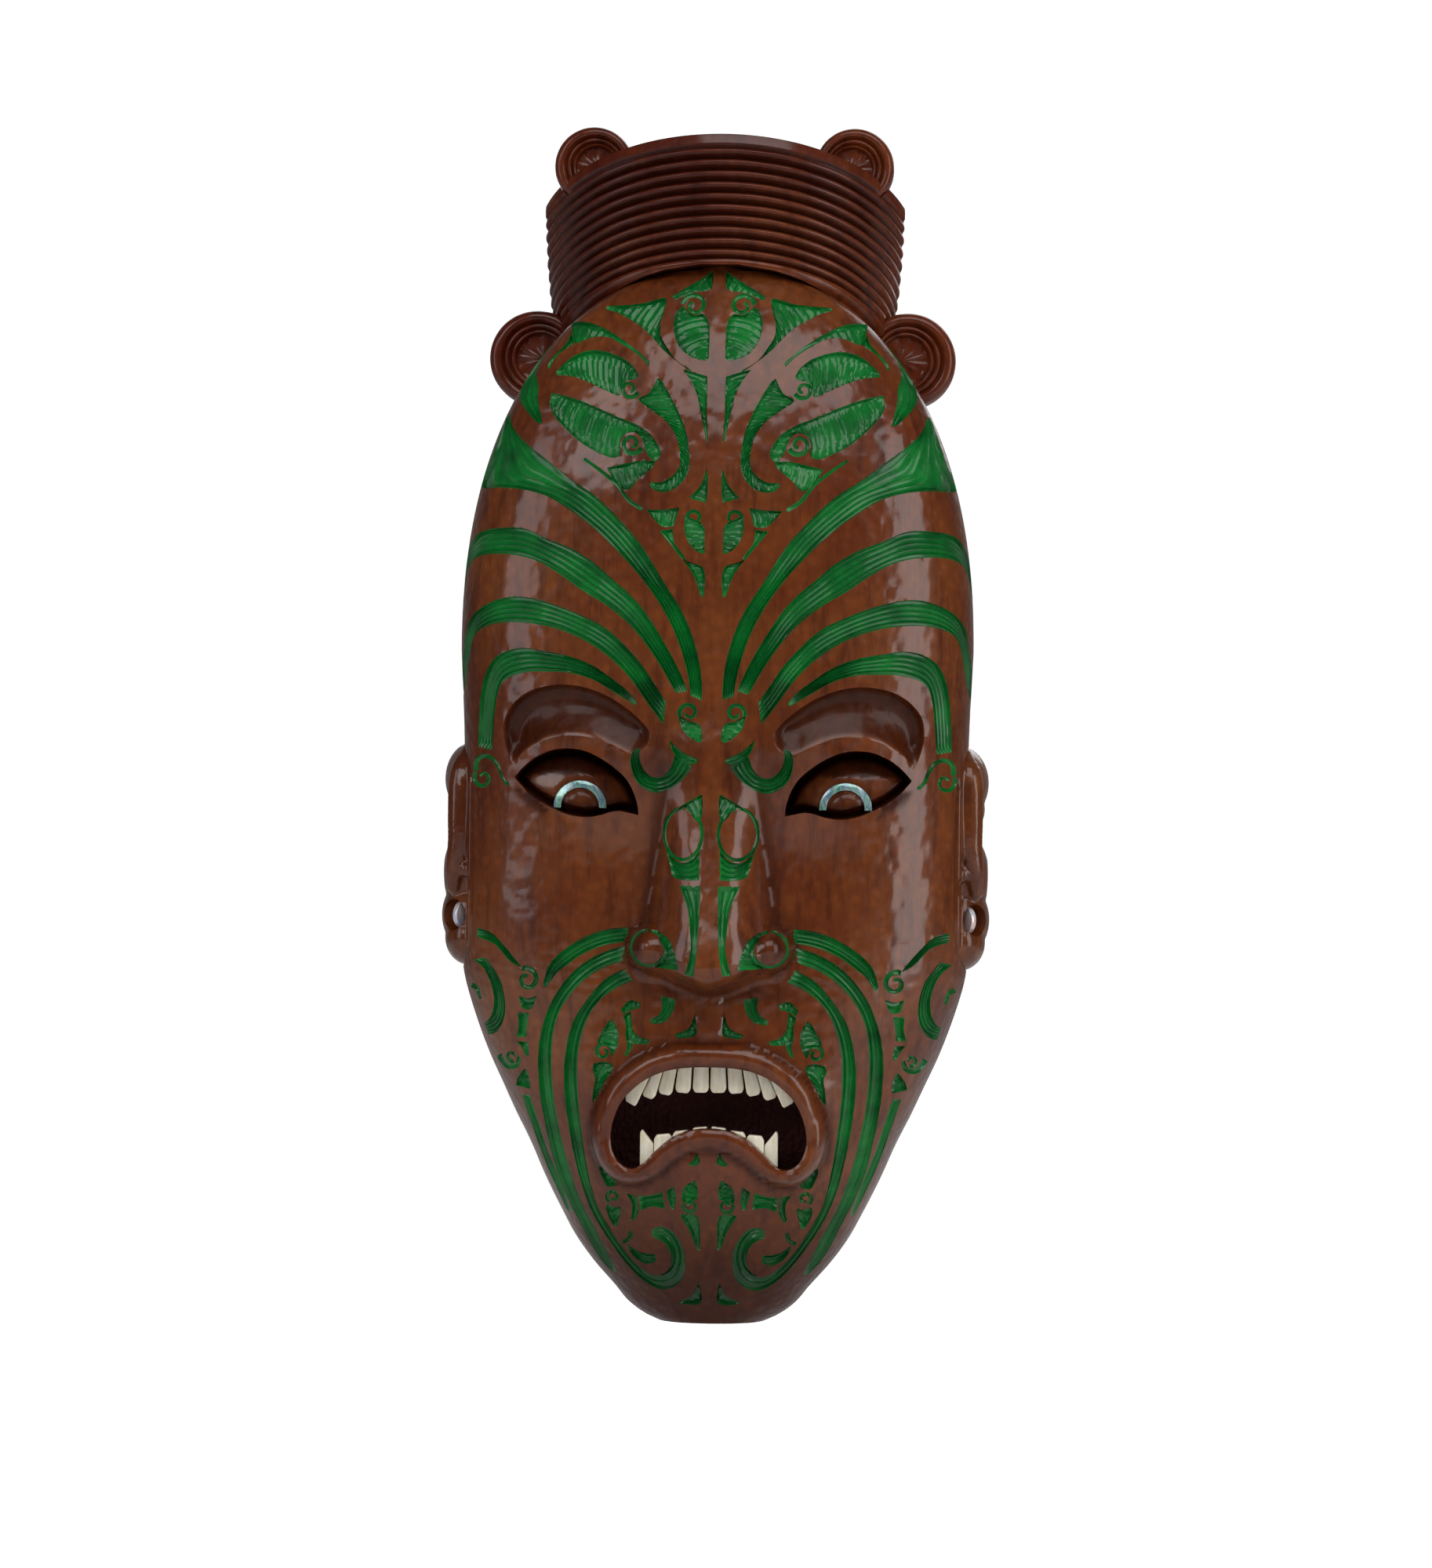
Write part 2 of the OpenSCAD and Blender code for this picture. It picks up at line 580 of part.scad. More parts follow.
module ear_dowels() {
    color("burlywood") both_sides() side_dowel_places() dowel();
}

module scroll_dowels() {
    color("burlywood") both_sides() side_lug_dowel_place() dowel();
    color("burlywood") both_sides() top_lug_dowel_place() dowel();
}

module crown_dowels() {
    color("burlywood") crown_dowel_places() dowel();
}

module hanger_plate() {
    color("goldenrod") difference() {
        front_prism(plate_t - 0.05, 0) hanger_outline(0);
        front_prism(plate_t + 1, -1) {
            translate([0, hang_z]) circle(entry_r);
            translate([0, hang_z + slot_rise]) circle(slot_r);
            translate([-slot_r, hang_z]) square([2 * slot_r, slot_rise]);
        }
        hanger_screw_places() translate([0, 0, -0.01])
            cylinder(r1 = 2 * screw_r + fit, r2 = screw_r + fit, h = plate_t);
        hanger_screw_places() cylinder(r = screw_r + fit, h = plate_t + 1);
    }
}

// Countersunk wood screw, its head's face at the origin and its shank along +Z
module wood_screw(len, head_h) {
    cylinder(r1 = 2 * screw_r, r2 = screw_r, h = head_h);
    cylinder(r = screw_r, h = len - 3);
    translate([0, 0, len - 3]) cylinder(r1 = screw_r, r2 = 0.3, h = 2.4);
}

module hanger_screws() {
    color("gold") hanger_screw_places() wood_screw(hanger_screw_len, plate_t - 0.1);
}

module backing_screws() {
    color("gold") backing_screw_places() wood_screw(backing_screw_len, 1.8);
}

// Puts the origin at the hanger's entry hole
module from_hanger() {
    translate([0, 0, -hang_z]) children();
}

from_hanger() mask_body();
from_hanger() mouth_backing();
from_hanger() crown_band();
from_hanger() mirror([1, 0, 0]) top_scroll();  // top_scroll_left
from_hanger() top_scroll();  // top_scroll_right
from_hanger() mirror([1, 0, 0]) side_scroll();  // side_scroll_left
from_hanger() side_scroll();  // side_scroll_right
from_hanger() mirror([1, 0, 0]) ear();  // ear_left
from_hanger() ear();  // ear_right
from_hanger() mirror([1, 0, 0]) eye_ring();  // eye_ring_left
from_hanger() eye_ring();  // eye_ring_right
from_hanger() mirror([1, 0, 0]) ear_disc();  // ear_disc_left
from_hanger() ear_disc();  // ear_disc_right
for (k = [1:5]) {
    from_hanger() mirror([1, 0, 0]) upper_tooth(k);
    from_hanger() upper_tooth(k);
}
for (k = [1:3]) {
    from_hanger() mirror([1, 0, 0]) lower_tooth(k);
    from_hanger() lower_tooth(k);
}
from_hanger() mirror([1, 0, 0]) lower_fang();  // lower_fang_left
from_hanger() lower_fang();  // lower_fang_right
from_hanger() ear_dowels();
from_hanger() scroll_dowels();
from_hanger() crown_dowels();
from_hanger() hanger_plate();
from_hanger() hanger_screws();
from_hanger() backing_screws();
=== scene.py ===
"""Carved wooden wall mask: the looks of a hollow-backed face with painted carving,
a ridged crown, scroll lugs, ears, shell inlays and bone teeth."""

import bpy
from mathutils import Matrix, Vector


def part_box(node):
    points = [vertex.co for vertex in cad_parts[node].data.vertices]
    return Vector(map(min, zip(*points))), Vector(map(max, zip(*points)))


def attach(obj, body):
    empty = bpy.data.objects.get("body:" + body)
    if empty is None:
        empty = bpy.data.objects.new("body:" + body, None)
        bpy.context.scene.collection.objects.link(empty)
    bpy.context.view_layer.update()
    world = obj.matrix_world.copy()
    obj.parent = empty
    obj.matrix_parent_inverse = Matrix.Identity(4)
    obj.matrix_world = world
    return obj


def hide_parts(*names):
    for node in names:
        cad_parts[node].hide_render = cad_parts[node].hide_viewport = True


bl_info = {
    "name": "Carved wall mask",
    "version": (1, 0, 0),
    "blender": (4, 5, 0),
    "location": "View3D > Sidebar > Mask",
    "description": "Builds a carved and painted wooden wall mask round its packed solids",
    "category": "Add Mesh",
}

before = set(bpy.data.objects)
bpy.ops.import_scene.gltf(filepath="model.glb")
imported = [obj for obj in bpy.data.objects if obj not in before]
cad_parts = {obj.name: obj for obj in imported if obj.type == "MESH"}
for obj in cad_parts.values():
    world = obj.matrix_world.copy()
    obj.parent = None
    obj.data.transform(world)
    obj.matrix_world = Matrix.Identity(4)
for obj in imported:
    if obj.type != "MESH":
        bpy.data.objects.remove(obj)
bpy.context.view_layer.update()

import math

import bmesh
import bpy
import numpy as np
from bpy.props import FloatProperty, FloatVectorProperty, IntProperty, PointerProperty
from mathutils import Matrix, Vector

MM = 0.001
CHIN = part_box("mask_body")[0].z
HEAD_TOP = (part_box("mask_body")[1].z - CHIN) / MM
TEETH_FRONT = -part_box("upper_tooth_left_1")[0].y / MM
BOARD_FRONT = -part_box("mouth_backing")[0].y / MM


# ---- sizes and colours ----

class FaceSizes(bpy.types.PropertyGroup):
    rows: IntProperty(name="Rows", description="Rows of the face from chin to forehead", default=232, min=60)
    columns: IntProperty(name="Columns", description="Columns round the face", default=166, min=40)
    adze_depth: FloatProperty(name="Tool marks", description="Depth of the hollows left by the gouge",
                              default=0.00022, unit="LENGTH", precision=5)
    channel_depth: FloatProperty(name="Channel depth", description="Depth of the painted channels",
                                 default=0.0017, unit="LENGTH", precision=4)
    rib_height: FloatProperty(name="Rib height", description="Height of the ribs in the painted channels",
                              default=0.0009, unit="LENGTH", precision=4)


class Colours(bpy.types.PropertyGroup):
    wood: FloatVectorProperty(name="Wood", description="Main colour of the varnished wood",
                              subtype="COLOR", default=(0.128, 0.0262, 0.0050))
    wood_light: FloatVectorProperty(name="Light wood", description="Paler patches of the wood",
                                    subtype="COLOR", default=(0.205, 0.0560, 0.0115))
    wood_dark: FloatVectorProperty(name="Dark wood", description="Darker streaks of the wood",
                                   subtype="COLOR", default=(0.040, 0.0065, 0.0028))
    crown: FloatVectorProperty(name="Crown", description="Colour of the crown and the scrolls",
                               subtype="COLOR", default=(0.082, 0.0105, 0.0032))
    crown_light: FloatVectorProperty(name="Crown crests", description="Paler wood on the crown's crests",
                                     subtype="COLOR", default=(0.190, 0.041, 0.0085))
    paint: FloatVectorProperty(name="Paint", description="Green paint in the channels",
                               subtype="COLOR", default=(0.0008, 0.140, 0.021))
    bone: FloatVectorProperty(name="Bone", description="Colour of the teeth",
                              subtype="COLOR", default=(0.97, 0.91, 0.76))


def sizes():
    return bpy.context.scene.mask_face


def colours():
    return bpy.context.scene.mask_colours


# ---- curves, in millimetres: x from the middle, depth out from the wall, z up from the chin ----

def smooth_value(table, t):
    """Smooth value at t of a table of (place, value) pairs."""
    p = np.array([row[0] for row in table], float)
    q = np.array([row[1] for row in table], float)
    slope = np.gradient(q, p)
    t = np.clip(t, p[0], p[-1])
    i = np.clip(np.searchsorted(p, t, side="right") - 1, 0, len(p) - 2)
    h = p[i + 1] - p[i]
    u = (t - p[i]) / h
    return (q[i] * (2 * u**3 - 3 * u**2 + 1) + slope[i] * h * (u**3 - 2 * u**2 + u)
            + q[i + 1] * (3 * u**2 - 2 * u**3) + slope[i + 1] * h * (u**3 - u**2))


def smoothstep(t, low, high):
    u = np.clip((t - low) / (high - low), 0, 1)
    return u * u * (3 - 2 * u)


def rounded(points, steps=8, closed=False):
    """Points of a smooth curve through the given points."""
    p = np.array(points, float)
    n = len(p)
    out = []
    for i in range(n if closed else n - 1):
        a, b = p[i], p[(i + 1) % n]
        before = p[(i - 1) % n] if closed or i > 0 else a
        after = p[(i + 2) % n] if closed or i < n - 2 else b
        length = np.linalg.norm(b - a)
        ma = (b - before) * length / max(1e-6, length + np.linalg.norm(a - before))
        mb = (after - a) * length / max(1e-6, length + np.linalg.norm(after - b))
        for k in range(steps):
            u = k / steps
            out.append(a * (2 * u**3 - 3 * u**2 + 1) + ma * (u**3 - 2 * u**2 + u)
                       + b * (3 * u**2 - 2 * u**3) + mb * (u**3 - u**2))
    if not closed:
        out.append(p[-1])
    return np.array(out)


def even(points, count):
    """The same line with evenly spaced points."""
    step = np.linalg.norm(np.diff(points, axis=0), axis=1)
    place = np.concatenate([[0], np.cumsum(step)])
    want = np.linspace(0, place[-1], count)
    return np.stack([np.interp(want, place, points[:, k]) for k in range(points.shape[1])], 1)


def line_length(points):
    return float(np.linalg.norm(np.diff(points, axis=0), axis=1).sum())


def line_distance(x, z, line):
    """Distance of each place to a line."""
    best = np.full(np.shape(x), 1e9)
    for (ax, az), (bx, bz) in zip(line[:-1], line[1:]):
        dx, dz = bx - ax, bz - az
        u = np.clip(((x - ax) * dx + (z - az) * dz) / max(1e-9, dx * dx + dz * dz), 0, 1)
        best = np.minimum(best, np.hypot(x - ax - u * dx, z - az - u * dz))
    return best


# ---- the face's form ----

OUTLINE = ((0, 23.5), (2, 28), (6, 34), (15, 42), (24, 50), (35, 58), (47, 64.5), (60, 71), (77, 78.5),
           (88, 84), (101, 90), (113, 95.5), (126, 100.5), (135, 103.5), (145, 106.3), (162, 108.3),
           (200, 107.6), (245, 107.2), (285, 108.8))
MIDDLE = ((0, 48), (27, 67), (67, 81), (100, 87), (134, 89), (200, 91), (259, 95), (313, 96), (366, 91.5),
          (411, 79), (447, 58))
WALL = ((0, 24), (112, 31), (224, 38), (335, 42), (447, 52))
NOSE_RIDGE = ((139, 0), (141, 3), (143, 12), (145, 20.5), (147.5, 25), (151, 26.6), (158, 26), (170, 22.5),
              (190, 16.5), (210, 10.5), (228, 6), (242, 3), (252, 1.2), (264, 0))
NOSE_WIDTH = ((139, 30), (150, 31), (160, 29), (170, 26.5), (180, 25.2), (190, 23.8), (205, 21.8),
              (220, 20.2), (235, 20), (250, 24), (264, 34))
LIP_INNER = ((0, 111), (10.3, 110.6), (18.5, 109), (26.3, 105.5), (32.3, 100.7), (36, 96.5), (38.8, 91),
             (40.6, 84), (40.6, 78), (38.4, 72), (35, 69), (31.3, 68.2), (27.3, 70.3), (22.3, 75.4),
             (16.3, 80.6), (10.3, 83.6), (4, 84.9), (0, 85.1))
LIP_OUTER = ((0, 120.5), (10, 120), (19, 118), (28.3, 113.4), (36.3, 107), (42.3, 98), (46.3, 88), (47, 78),
             (44.3, 70.5), (39, 65), (32.3, 62.8), (26.3, 64.2), (20.3, 69), (14.3, 73.8), (8.3, 77),
             (0, 78.2))
ROOTS = ((0, 117.8), (20, 116.4), (31, 112), (38, 106), (42, 97), (43, 85), (41.6, 75), (37.6, 66.8),
         (32, 62.6), (26.4, 63), (20, 67.6), (12, 73.4), (4, 76.8), (0, 77))
LID_UPPER = ((82.5, 231), (78.5, 235.4), (73.5, 239.3), (66.5, 242.3), (60, 243), (53.5, 242.2),
             (46.5, 239.2), (40.5, 235.2), (35.5, 230.6), (32.3, 225), (30.6, 219.5), (30.2, 216))
LID_LOWER = ((82.5, 230.6), (77.5, 225), (71.5, 220.6), (64.5, 217), (58.5, 215), (52.5, 214.4),
             (46.5, 215.3), (42.5, 216.6), (38.5, 217.2), (34.5, 216.5), (30.4, 215.6))
BROW_EDGE = ((82.2, 233), (86, 240), (88.3, 250), (86.6, 258), (81, 264.3), (73.5, 268), (64, 269.5),
             (54, 268.5), (44, 265), (36, 260), (29, 254), (24, 248))
LID_RIDGE = ((81.8, 232.6), (80.6, 239.5), (73.5, 244.6), (64, 247.6), (54, 247.7), (46, 245.8), (39, 242.5),
             (33.5, 240), (28.5, 242), (24.3, 247.2))
EYE = (55.5, 219.8)
RING = (55.5, 218.6)


WIDEST, TEMPLE, TEMPLE_TO_TOP = 108.8, 285, 162.2
NOSE_FOOT, NOSE_TOP = 139, 264
WING, WING_R = (24.7, 160.3), (9.9, 10)
LIP_HALF = 5.4


def half_width(z):
    v = np.clip((z - TEMPLE) / TEMPLE_TO_TOP, 0, 0.9995)
    return np.where(z > TEMPLE, WIDEST * (1 - v**2.2) ** (1 / 2.2), smooth_value(OUTLINE, z))


def side_depth(z):
    return smooth_value(WALL, z)


def dome(x, z):
    s = side_depth(z)
    u = np.clip(np.abs(x) / half_width(z), 0, 1)
    return s + (smooth_value(MIDDLE, z) - s) * (1 - u**2.4) ** (1 / 2.2)


LIP_MIDDLE = even(rounded((np.array(even(rounded(LIP_INNER), 60)) + even(rounded(LIP_OUTER), 60)) / 2, 2), 90)


def nose(x, z):
    a = np.abs(x)
    lift = 7 * np.clip(a / 19, 0, 1) ** 1.3 * (1 - smoothstep(z, 150, 176))
    at = z - lift
    u = np.clip(a / smooth_value(NOSE_WIDTH, at), 0, 1)
    ridge = smooth_value(NOSE_RIDGE, at) * (1 - u**2.7) ** 1.3
    ridge = np.where((z < NOSE_TOP) & (at > NOSE_FOOT), ridge, 0)
    r2 = ((a - WING[0]) / WING_R[0]) ** 2 + ((z - WING[1]) / WING_R[1]) ** 2
    wing = 17 * np.sqrt(np.clip(1 - r2, 0, 1))
    return np.maximum(ridge, wing)


def face(x, z):
    """Depth of the face's surface."""
    a = np.abs(x)
    d = dome(x, z) + nose(x, z)
    # swell round the mouth, and the groove's two edges between nose and lip
    d = d + 2.5 * np.exp(-((a / 42) ** 2) - ((z - 100) / 34) ** 2)
    d = d + 1.3 * smoothstep(5.2 - a, 0, 0.9) * smoothstep(z, 120, 124) * (1 - smoothstep(z, 139, 146))
    # the lips' roll, which stands well out at the mouth's corners and under it
    far = line_distance(a, z, LIP_MIDDLE)
    d = d + 4.5 * np.exp(-(((a - 41) / 13) ** 2) - ((z - 84) / 26) ** 2)
    d = d + 4.5 * np.exp(-((a / 32) ** 2) - ((z - 63) / 15) ** 2)
    roll = np.clip(89 - d, 4.6, 9)
    d = d + roll * np.clip(1 - (far / LIP_HALF) ** 2, 0, 1) ** 0.6
    # the cheek sinks beside the nose
    d = d - 3.2 * np.exp(-(((a - 40) / 15) ** 2) - ((z - 196) / 26) ** 2)
    # frown above the nose's root
    d = d + 2.2 * np.exp(-((a / 26) ** 2) - ((z - 243) / 11) ** 2)
    return d


MARK_WAVES = np.random.default_rng(7).uniform((-1.35, -0.75, 0), (1.35, 0.75, 6.28), (26, 3))


def marks(x, z):
    """Shallow hollows left by the gouge, deepest in their middles."""
    field = sum(np.cos(a * x + b * z + c) for a, b, c in MARK_WAVES) / math.sqrt(len(MARK_WAVES) / 2)
    return np.minimum(np.abs(field), 1.6)


def eyeball(x, z):
    """Depth of the eyeball inside the lids."""
    return 78.0 - (np.abs(x) - EYE[0]) ** 2 / 110 - (z - EYE[1]) ** 2 / 75


def place(x, depth, z):
    return np.stack([x * MM, -depth * MM, z * MM + CHIN], -1)


def on_face(x, z):
    """Point on the face, and the way out of it. Places past the outline wrap on to the side wall."""
    w = half_width(z) - 0.25
    a, sign = np.abs(x), np.where(x < 0, -1.0, 1.0)
    inside = np.minimum(a, w)
    e = 0.35
    f = face(inside, z)
    fx = (face(np.minimum(inside + e, w), z) - face(inside - e, z)) / (np.minimum(inside + e, w) - inside + e)
    fz = (face(inside, z + e) - face(inside, z - e)) / (2 * e)
    out = np.stack([-fx * sign, -np.ones_like(f), -fz], -1)
    out /= np.linalg.norm(out, axis=-1, keepdims=True)
    over = np.maximum(a - w, 0)
    side = np.stack([sign, np.zeros_like(f), np.zeros_like(f)], -1)
    out = np.where((over > 0)[..., None], side, out)
    depth = np.where(over > 0, np.maximum(f - over, 4), f)
    return place(inside * sign, depth, z), out


# ---- mesh helpers ----

def new_piece(name, bm, *materials):
    """A linked object made from a mesh in the making, with its materials."""
    mesh = bpy.data.meshes.new(name)
    bm.to_mesh(mesh)
    bm.free()
    for material in materials:
        mesh.materials.append(material)
    piece = bpy.data.objects.new(name, mesh)
    bpy.context.scene.collection.objects.link(piece)
    return piece


def new_points(grown):
    """The points among what an extrusion made."""
    return [v for v in grown["geom"] if isinstance(v, bmesh.types.BMVert)]


def shaped_grid(across, along, shape, top=None):
    """A grid with its points at shape[i, j], closed into a block by a second sheet where top gives one."""
    bm = bmesh.new()
    bmesh.ops.create_grid(bm, x_segments=along, y_segments=across, size=1)
    cell = bm.verts.layers.int.new("cell")
    for v in bm.verts:
        i = round((v.co.x + 1) / 2 * along)
        j = round((v.co.y + 1) / 2 * across)
        v[cell] = i * (across + 1) + j
        v.co = shape[i, j]
    if top is not None:
        for v in new_points(bmesh.ops.extrude_face_region(bm, geom=bm.faces[:])):
            v.co = top[v[cell] // (across + 1), v[cell] % (across + 1)]
        bmesh.ops.recalc_face_normals(bm, faces=bm.faces[:])
    bm.verts.layers.int.remove(bm.verts.layers.int["cell"])
    return bm


def prism(name, line, near, axis, far, material):
    """A block from a closed line of pairs: near(a, b) places each point, and its copy is moved to far
    along one axis."""
    bm = bmesh.new()
    bmesh.ops.create_circle(bm, cap_ends=True, segments=len(line), radius=1)
    bm.verts.ensure_lookup_table()
    for v, pair in zip(bm.verts, line):
        v.co = near(*pair)
    for v in new_points(bmesh.ops.extrude_face_region(bm, geom=bm.faces[:])):
        v.co[axis] = far
    bmesh.ops.recalc_face_normals(bm, faces=bm.faces[:])
    return new_piece(name, bm, material)


def outline_block(name, outline, deep, shallow, material, steps=6):
    """A straight block behind a closed outline, between two depths."""
    line = rounded(outline, steps, closed=True)
    return prism(name, line, lambda x, z: place(x, deep, z), 1, -shallow * MM, material)


def box_block(name, size, middle, material):
    """A plain box."""
    bm = bmesh.new()
    made = bmesh.ops.create_cube(bm, size=1)["verts"]
    bmesh.ops.transform(bm, verts=made, matrix=Matrix.Translation(middle) @ Matrix.Diagonal((*size, 1)))
    return new_piece(name, bm, material)


def settle(piece):
    """Applies a piece's modifiers to its mesh."""
    shown = bpy.context.evaluated_depsgraph_get()
    shown.update()
    mesh = bpy.data.meshes.new_from_object(piece.evaluated_get(shown))
    piece.modifiers.clear()
    old = piece.data
    piece.data = mesh
    mesh.name = piece.name
    bpy.data.meshes.remove(old)


def carve(piece, cutters):
    """Cuts a list of blocks out of a piece; the cut faces take the blocks' materials."""
    group = bpy.data.collections.new("cutters")
    for c in cutters:
        for old in list(c.users_collection):
            old.objects.unlink(c)
        group.objects.link(c)
    cut = piece.modifiers.new("carve", "BOOLEAN")
    cut.operation, cut.solver, cut.material_mode = "DIFFERENCE", "MANIFOLD", "TRANSFER"
    cut.operand_type, cut.collection = "COLLECTION", group
    bpy.context.scene.collection.children.link(group)
    settle(piece)
    for c in cutters:
        bpy.data.objects.remove(c)
    bpy.data.collections.remove(group)


def keep_inside(piece, low, high, material):
    """Trims a piece to a box."""
    block = box_block("limits", high - low, (low + high) / 2, material)
    cut = piece.modifiers.new("trim", "BOOLEAN")
    cut.operation, cut.solver, cut.object = "INTERSECT", "MANIFOLD", block
    settle(piece)
    bpy.data.objects.remove(block)


def finish_piece(piece, node, sharp_from):
    """Smooth shading up to an angle in degrees; hangs the piece on the root body and hides the plain node."""
    for p in piece.data.polygons:
        p.use_smooth = True
    piece.data.set_sharp_from_angle(angle=math.radians(sharp_from))
    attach(piece, "root")
    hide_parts(node)


def softened_copy(node, width, segments):
    """A copy of a plain solid with small round edges."""
    bm = bmesh.new()
    bm.from_mesh(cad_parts[node].data)
    bmesh.ops.remove_doubles(bm, verts=bm.verts[:], dist=2e-6)
    bmesh.ops.dissolve_limit(bm, angle_limit=math.radians(4), verts=bm.verts[:], edges=bm.edges[:])
    sharp = [e for e in bm.edges if len(e.link_faces) == 2 and e.calc_face_angle(0) > math.radians(25)]
    bmesh.ops.bevel(bm, geom=sharp, offset=width * MM, offset_type="OFFSET", affect="EDGES",
                    segments=segments, profile=0.5, material=-1, clamp_overlap=True)
    return bm


# ---- carved channels ----

SPREAD = 1.12
LID_HEIGHT = 3.2


def strip(name, edge_a, edge_b, across, floor, material, sign, pitch, raised=0.55, absolute=False, grow=0.0):
    """A closed cutter between two edges on the face, with its points pitch times SPREAD apart.
    across lists the shares of the width, and floor(u, v, wide, x, z) gives how deep it is below the
    surface, or its depth from the wall where absolute is set."""
    a, b = rounded(edge_a), rounded(edge_b)
    count = max(6, int(max(line_length(a), line_length(b)) / (SPREAD * pitch)))
    a, b = even(a, count + 1), even(b, count + 1)
    gap = b - a
    wide = np.linalg.norm(gap, axis=1)
    thin = np.clip(0.5 - wide, 0, None)[:, None] / 2
    way = np.where(wide[:, None] > 1e-3, gap / np.maximum(wide, 1e-3)[:, None], [[0.7, 0.7]])
    a, b = a - way * (thin + grow), b + way * (thin + grow)
    v = np.array(across)[None, :]
    u = np.linspace(0, 1, count + 1)[:, None]
    x = a[:, 0:1] * (1 - v) + b[:, 0:1] * v
    z = a[:, 1:2] * (1 - v) + b[:, 1:2] * v
    wide = np.maximum(wide, 0.5)[:, None] + 0 * x
    z = np.clip(z, 0.5, HEAD_TOP - 0.5)
    point, out = on_face(x * sign, z)
    sink = floor(u + 0 * v, v + 0 * u, wide, x, z)
    edge = np.zeros_like(x, bool)
    edge[:, 0] = edge[:, -1] = True
    edge[0, :] = edge[-1, :] = True
    if absolute:
        bottom = place(x * sign, sink, z)
    else:
        bottom = point - out * (sink * MM)[..., None]
    bottom = np.where(edge[..., None], point + out * raised * MM, bottom)
    lid = point + out * LID_HEIGHT * MM
    if absolute:
        lid[..., 1] = np.minimum(lid[..., 1], -0.1)
    return new_piece(name, shaped_grid(len(across) - 1, count, bottom, lid), material)


def wave(t):
    """Rounded ridge once per unit of t, between 0 and 1."""
    return np.abs(np.sin(math.pi * t))


def ribbed_floor(ribs, deep, high):
    def floor(u, v, wide, x, z):
        wall = np.minimum(v, 1 - v) * wide
        ends = smoothstep(np.minimum(u, 1 - u), 0, 0.04)
        body = deep * np.clip(wall / 0.55 + 0.25, 0, 1) * (0.35 + 0.65 * smoothstep(wide, 0.8, 3))
        crest = 1 - wave(v * (ribs + 1)) ** 0.6
        crest = crest * smoothstep(wall, 0.5, 1.0) * smoothstep(wide, 2, 4)
        return (body - high * crest) * (0.5 + 0.5 * ends)
    return floor


def plain_floor(deep):
    def floor(u, v, wide, x, z):
        ends = 0.4 + 0.6 * smoothstep(1 - u, 0, 0.1)
        return deep * np.sin(math.pi * v) ** 0.6 * smoothstep(wide, 0.1, 1.4) * ends
    return floor


def notched_floor(count, deep, high, lean):
    def floor(u, v, wide, x, z):
        wall = np.minimum(v, 1 - v) * wide
        ends = smoothstep(np.minimum(u, 1 - u), 0, 0.05)
        body = deep * np.clip(wall / 0.5 + 0.2, 0, 1) * (0.4 + 0.6 * smoothstep(wide, 0.8, 3))
        turn = u * count + lean * np.sin(math.pi * v)
        crest = (1 - wave(turn)) ** 0.8 * smoothstep(wall, 0.35, 1.3)
        return (body - high * 0.9 * crest) * (0.5 + 0.5 * ends)
    return floor


def band(edge_a, edge_b, ribs=3):
    return ("band", edge_a, edge_b, ribs)


def leaf(edge_a, edge_b, notches=12, lean=0.8):
    return ("leaf", edge_a, edge_b, (notches, lean))


def groove(points, wide=1.5, end=None):
    """A thin channel along a line, its width easing from one end to the other."""
    line = even(rounded(points), 24)
    way = np.gradient(line, axis=0)
    way /= np.maximum(np.linalg.norm(way, axis=1, keepdims=True), 1e-6)
    side = np.stack([-way[:, 1], way[:, 0]], 1)
    half = np.linspace(wide, end or wide, len(line))[:, None] / 2
    return ("groove", line + side * half, line - side * half, 0)


def curl(x, z, r, start, turn, wide=1.5):
    """A spiral channel that winds in to a centre."""
    points = []
    r, wide = r * 1.15, wide * 1.45
    for k in range(16):
        t = k / 15
        at = math.radians(start + turn * t)
        radius = r * (1 - 0.72 * t)
        points.append((x + radius * math.cos(at), z + radius * math.sin(at)))
    return groove(points, wide, wide * 0.6)


def ring_groove(x, z, rx, rz, wide=1.1, start=0, turn=357):
    points = [(x + rx * math.cos(math.radians(start + turn * k / 24)),
               z + rz * math.sin(math.radians(start + turn * k / 24))) for k in range(25)]
    return groove(points, wide)


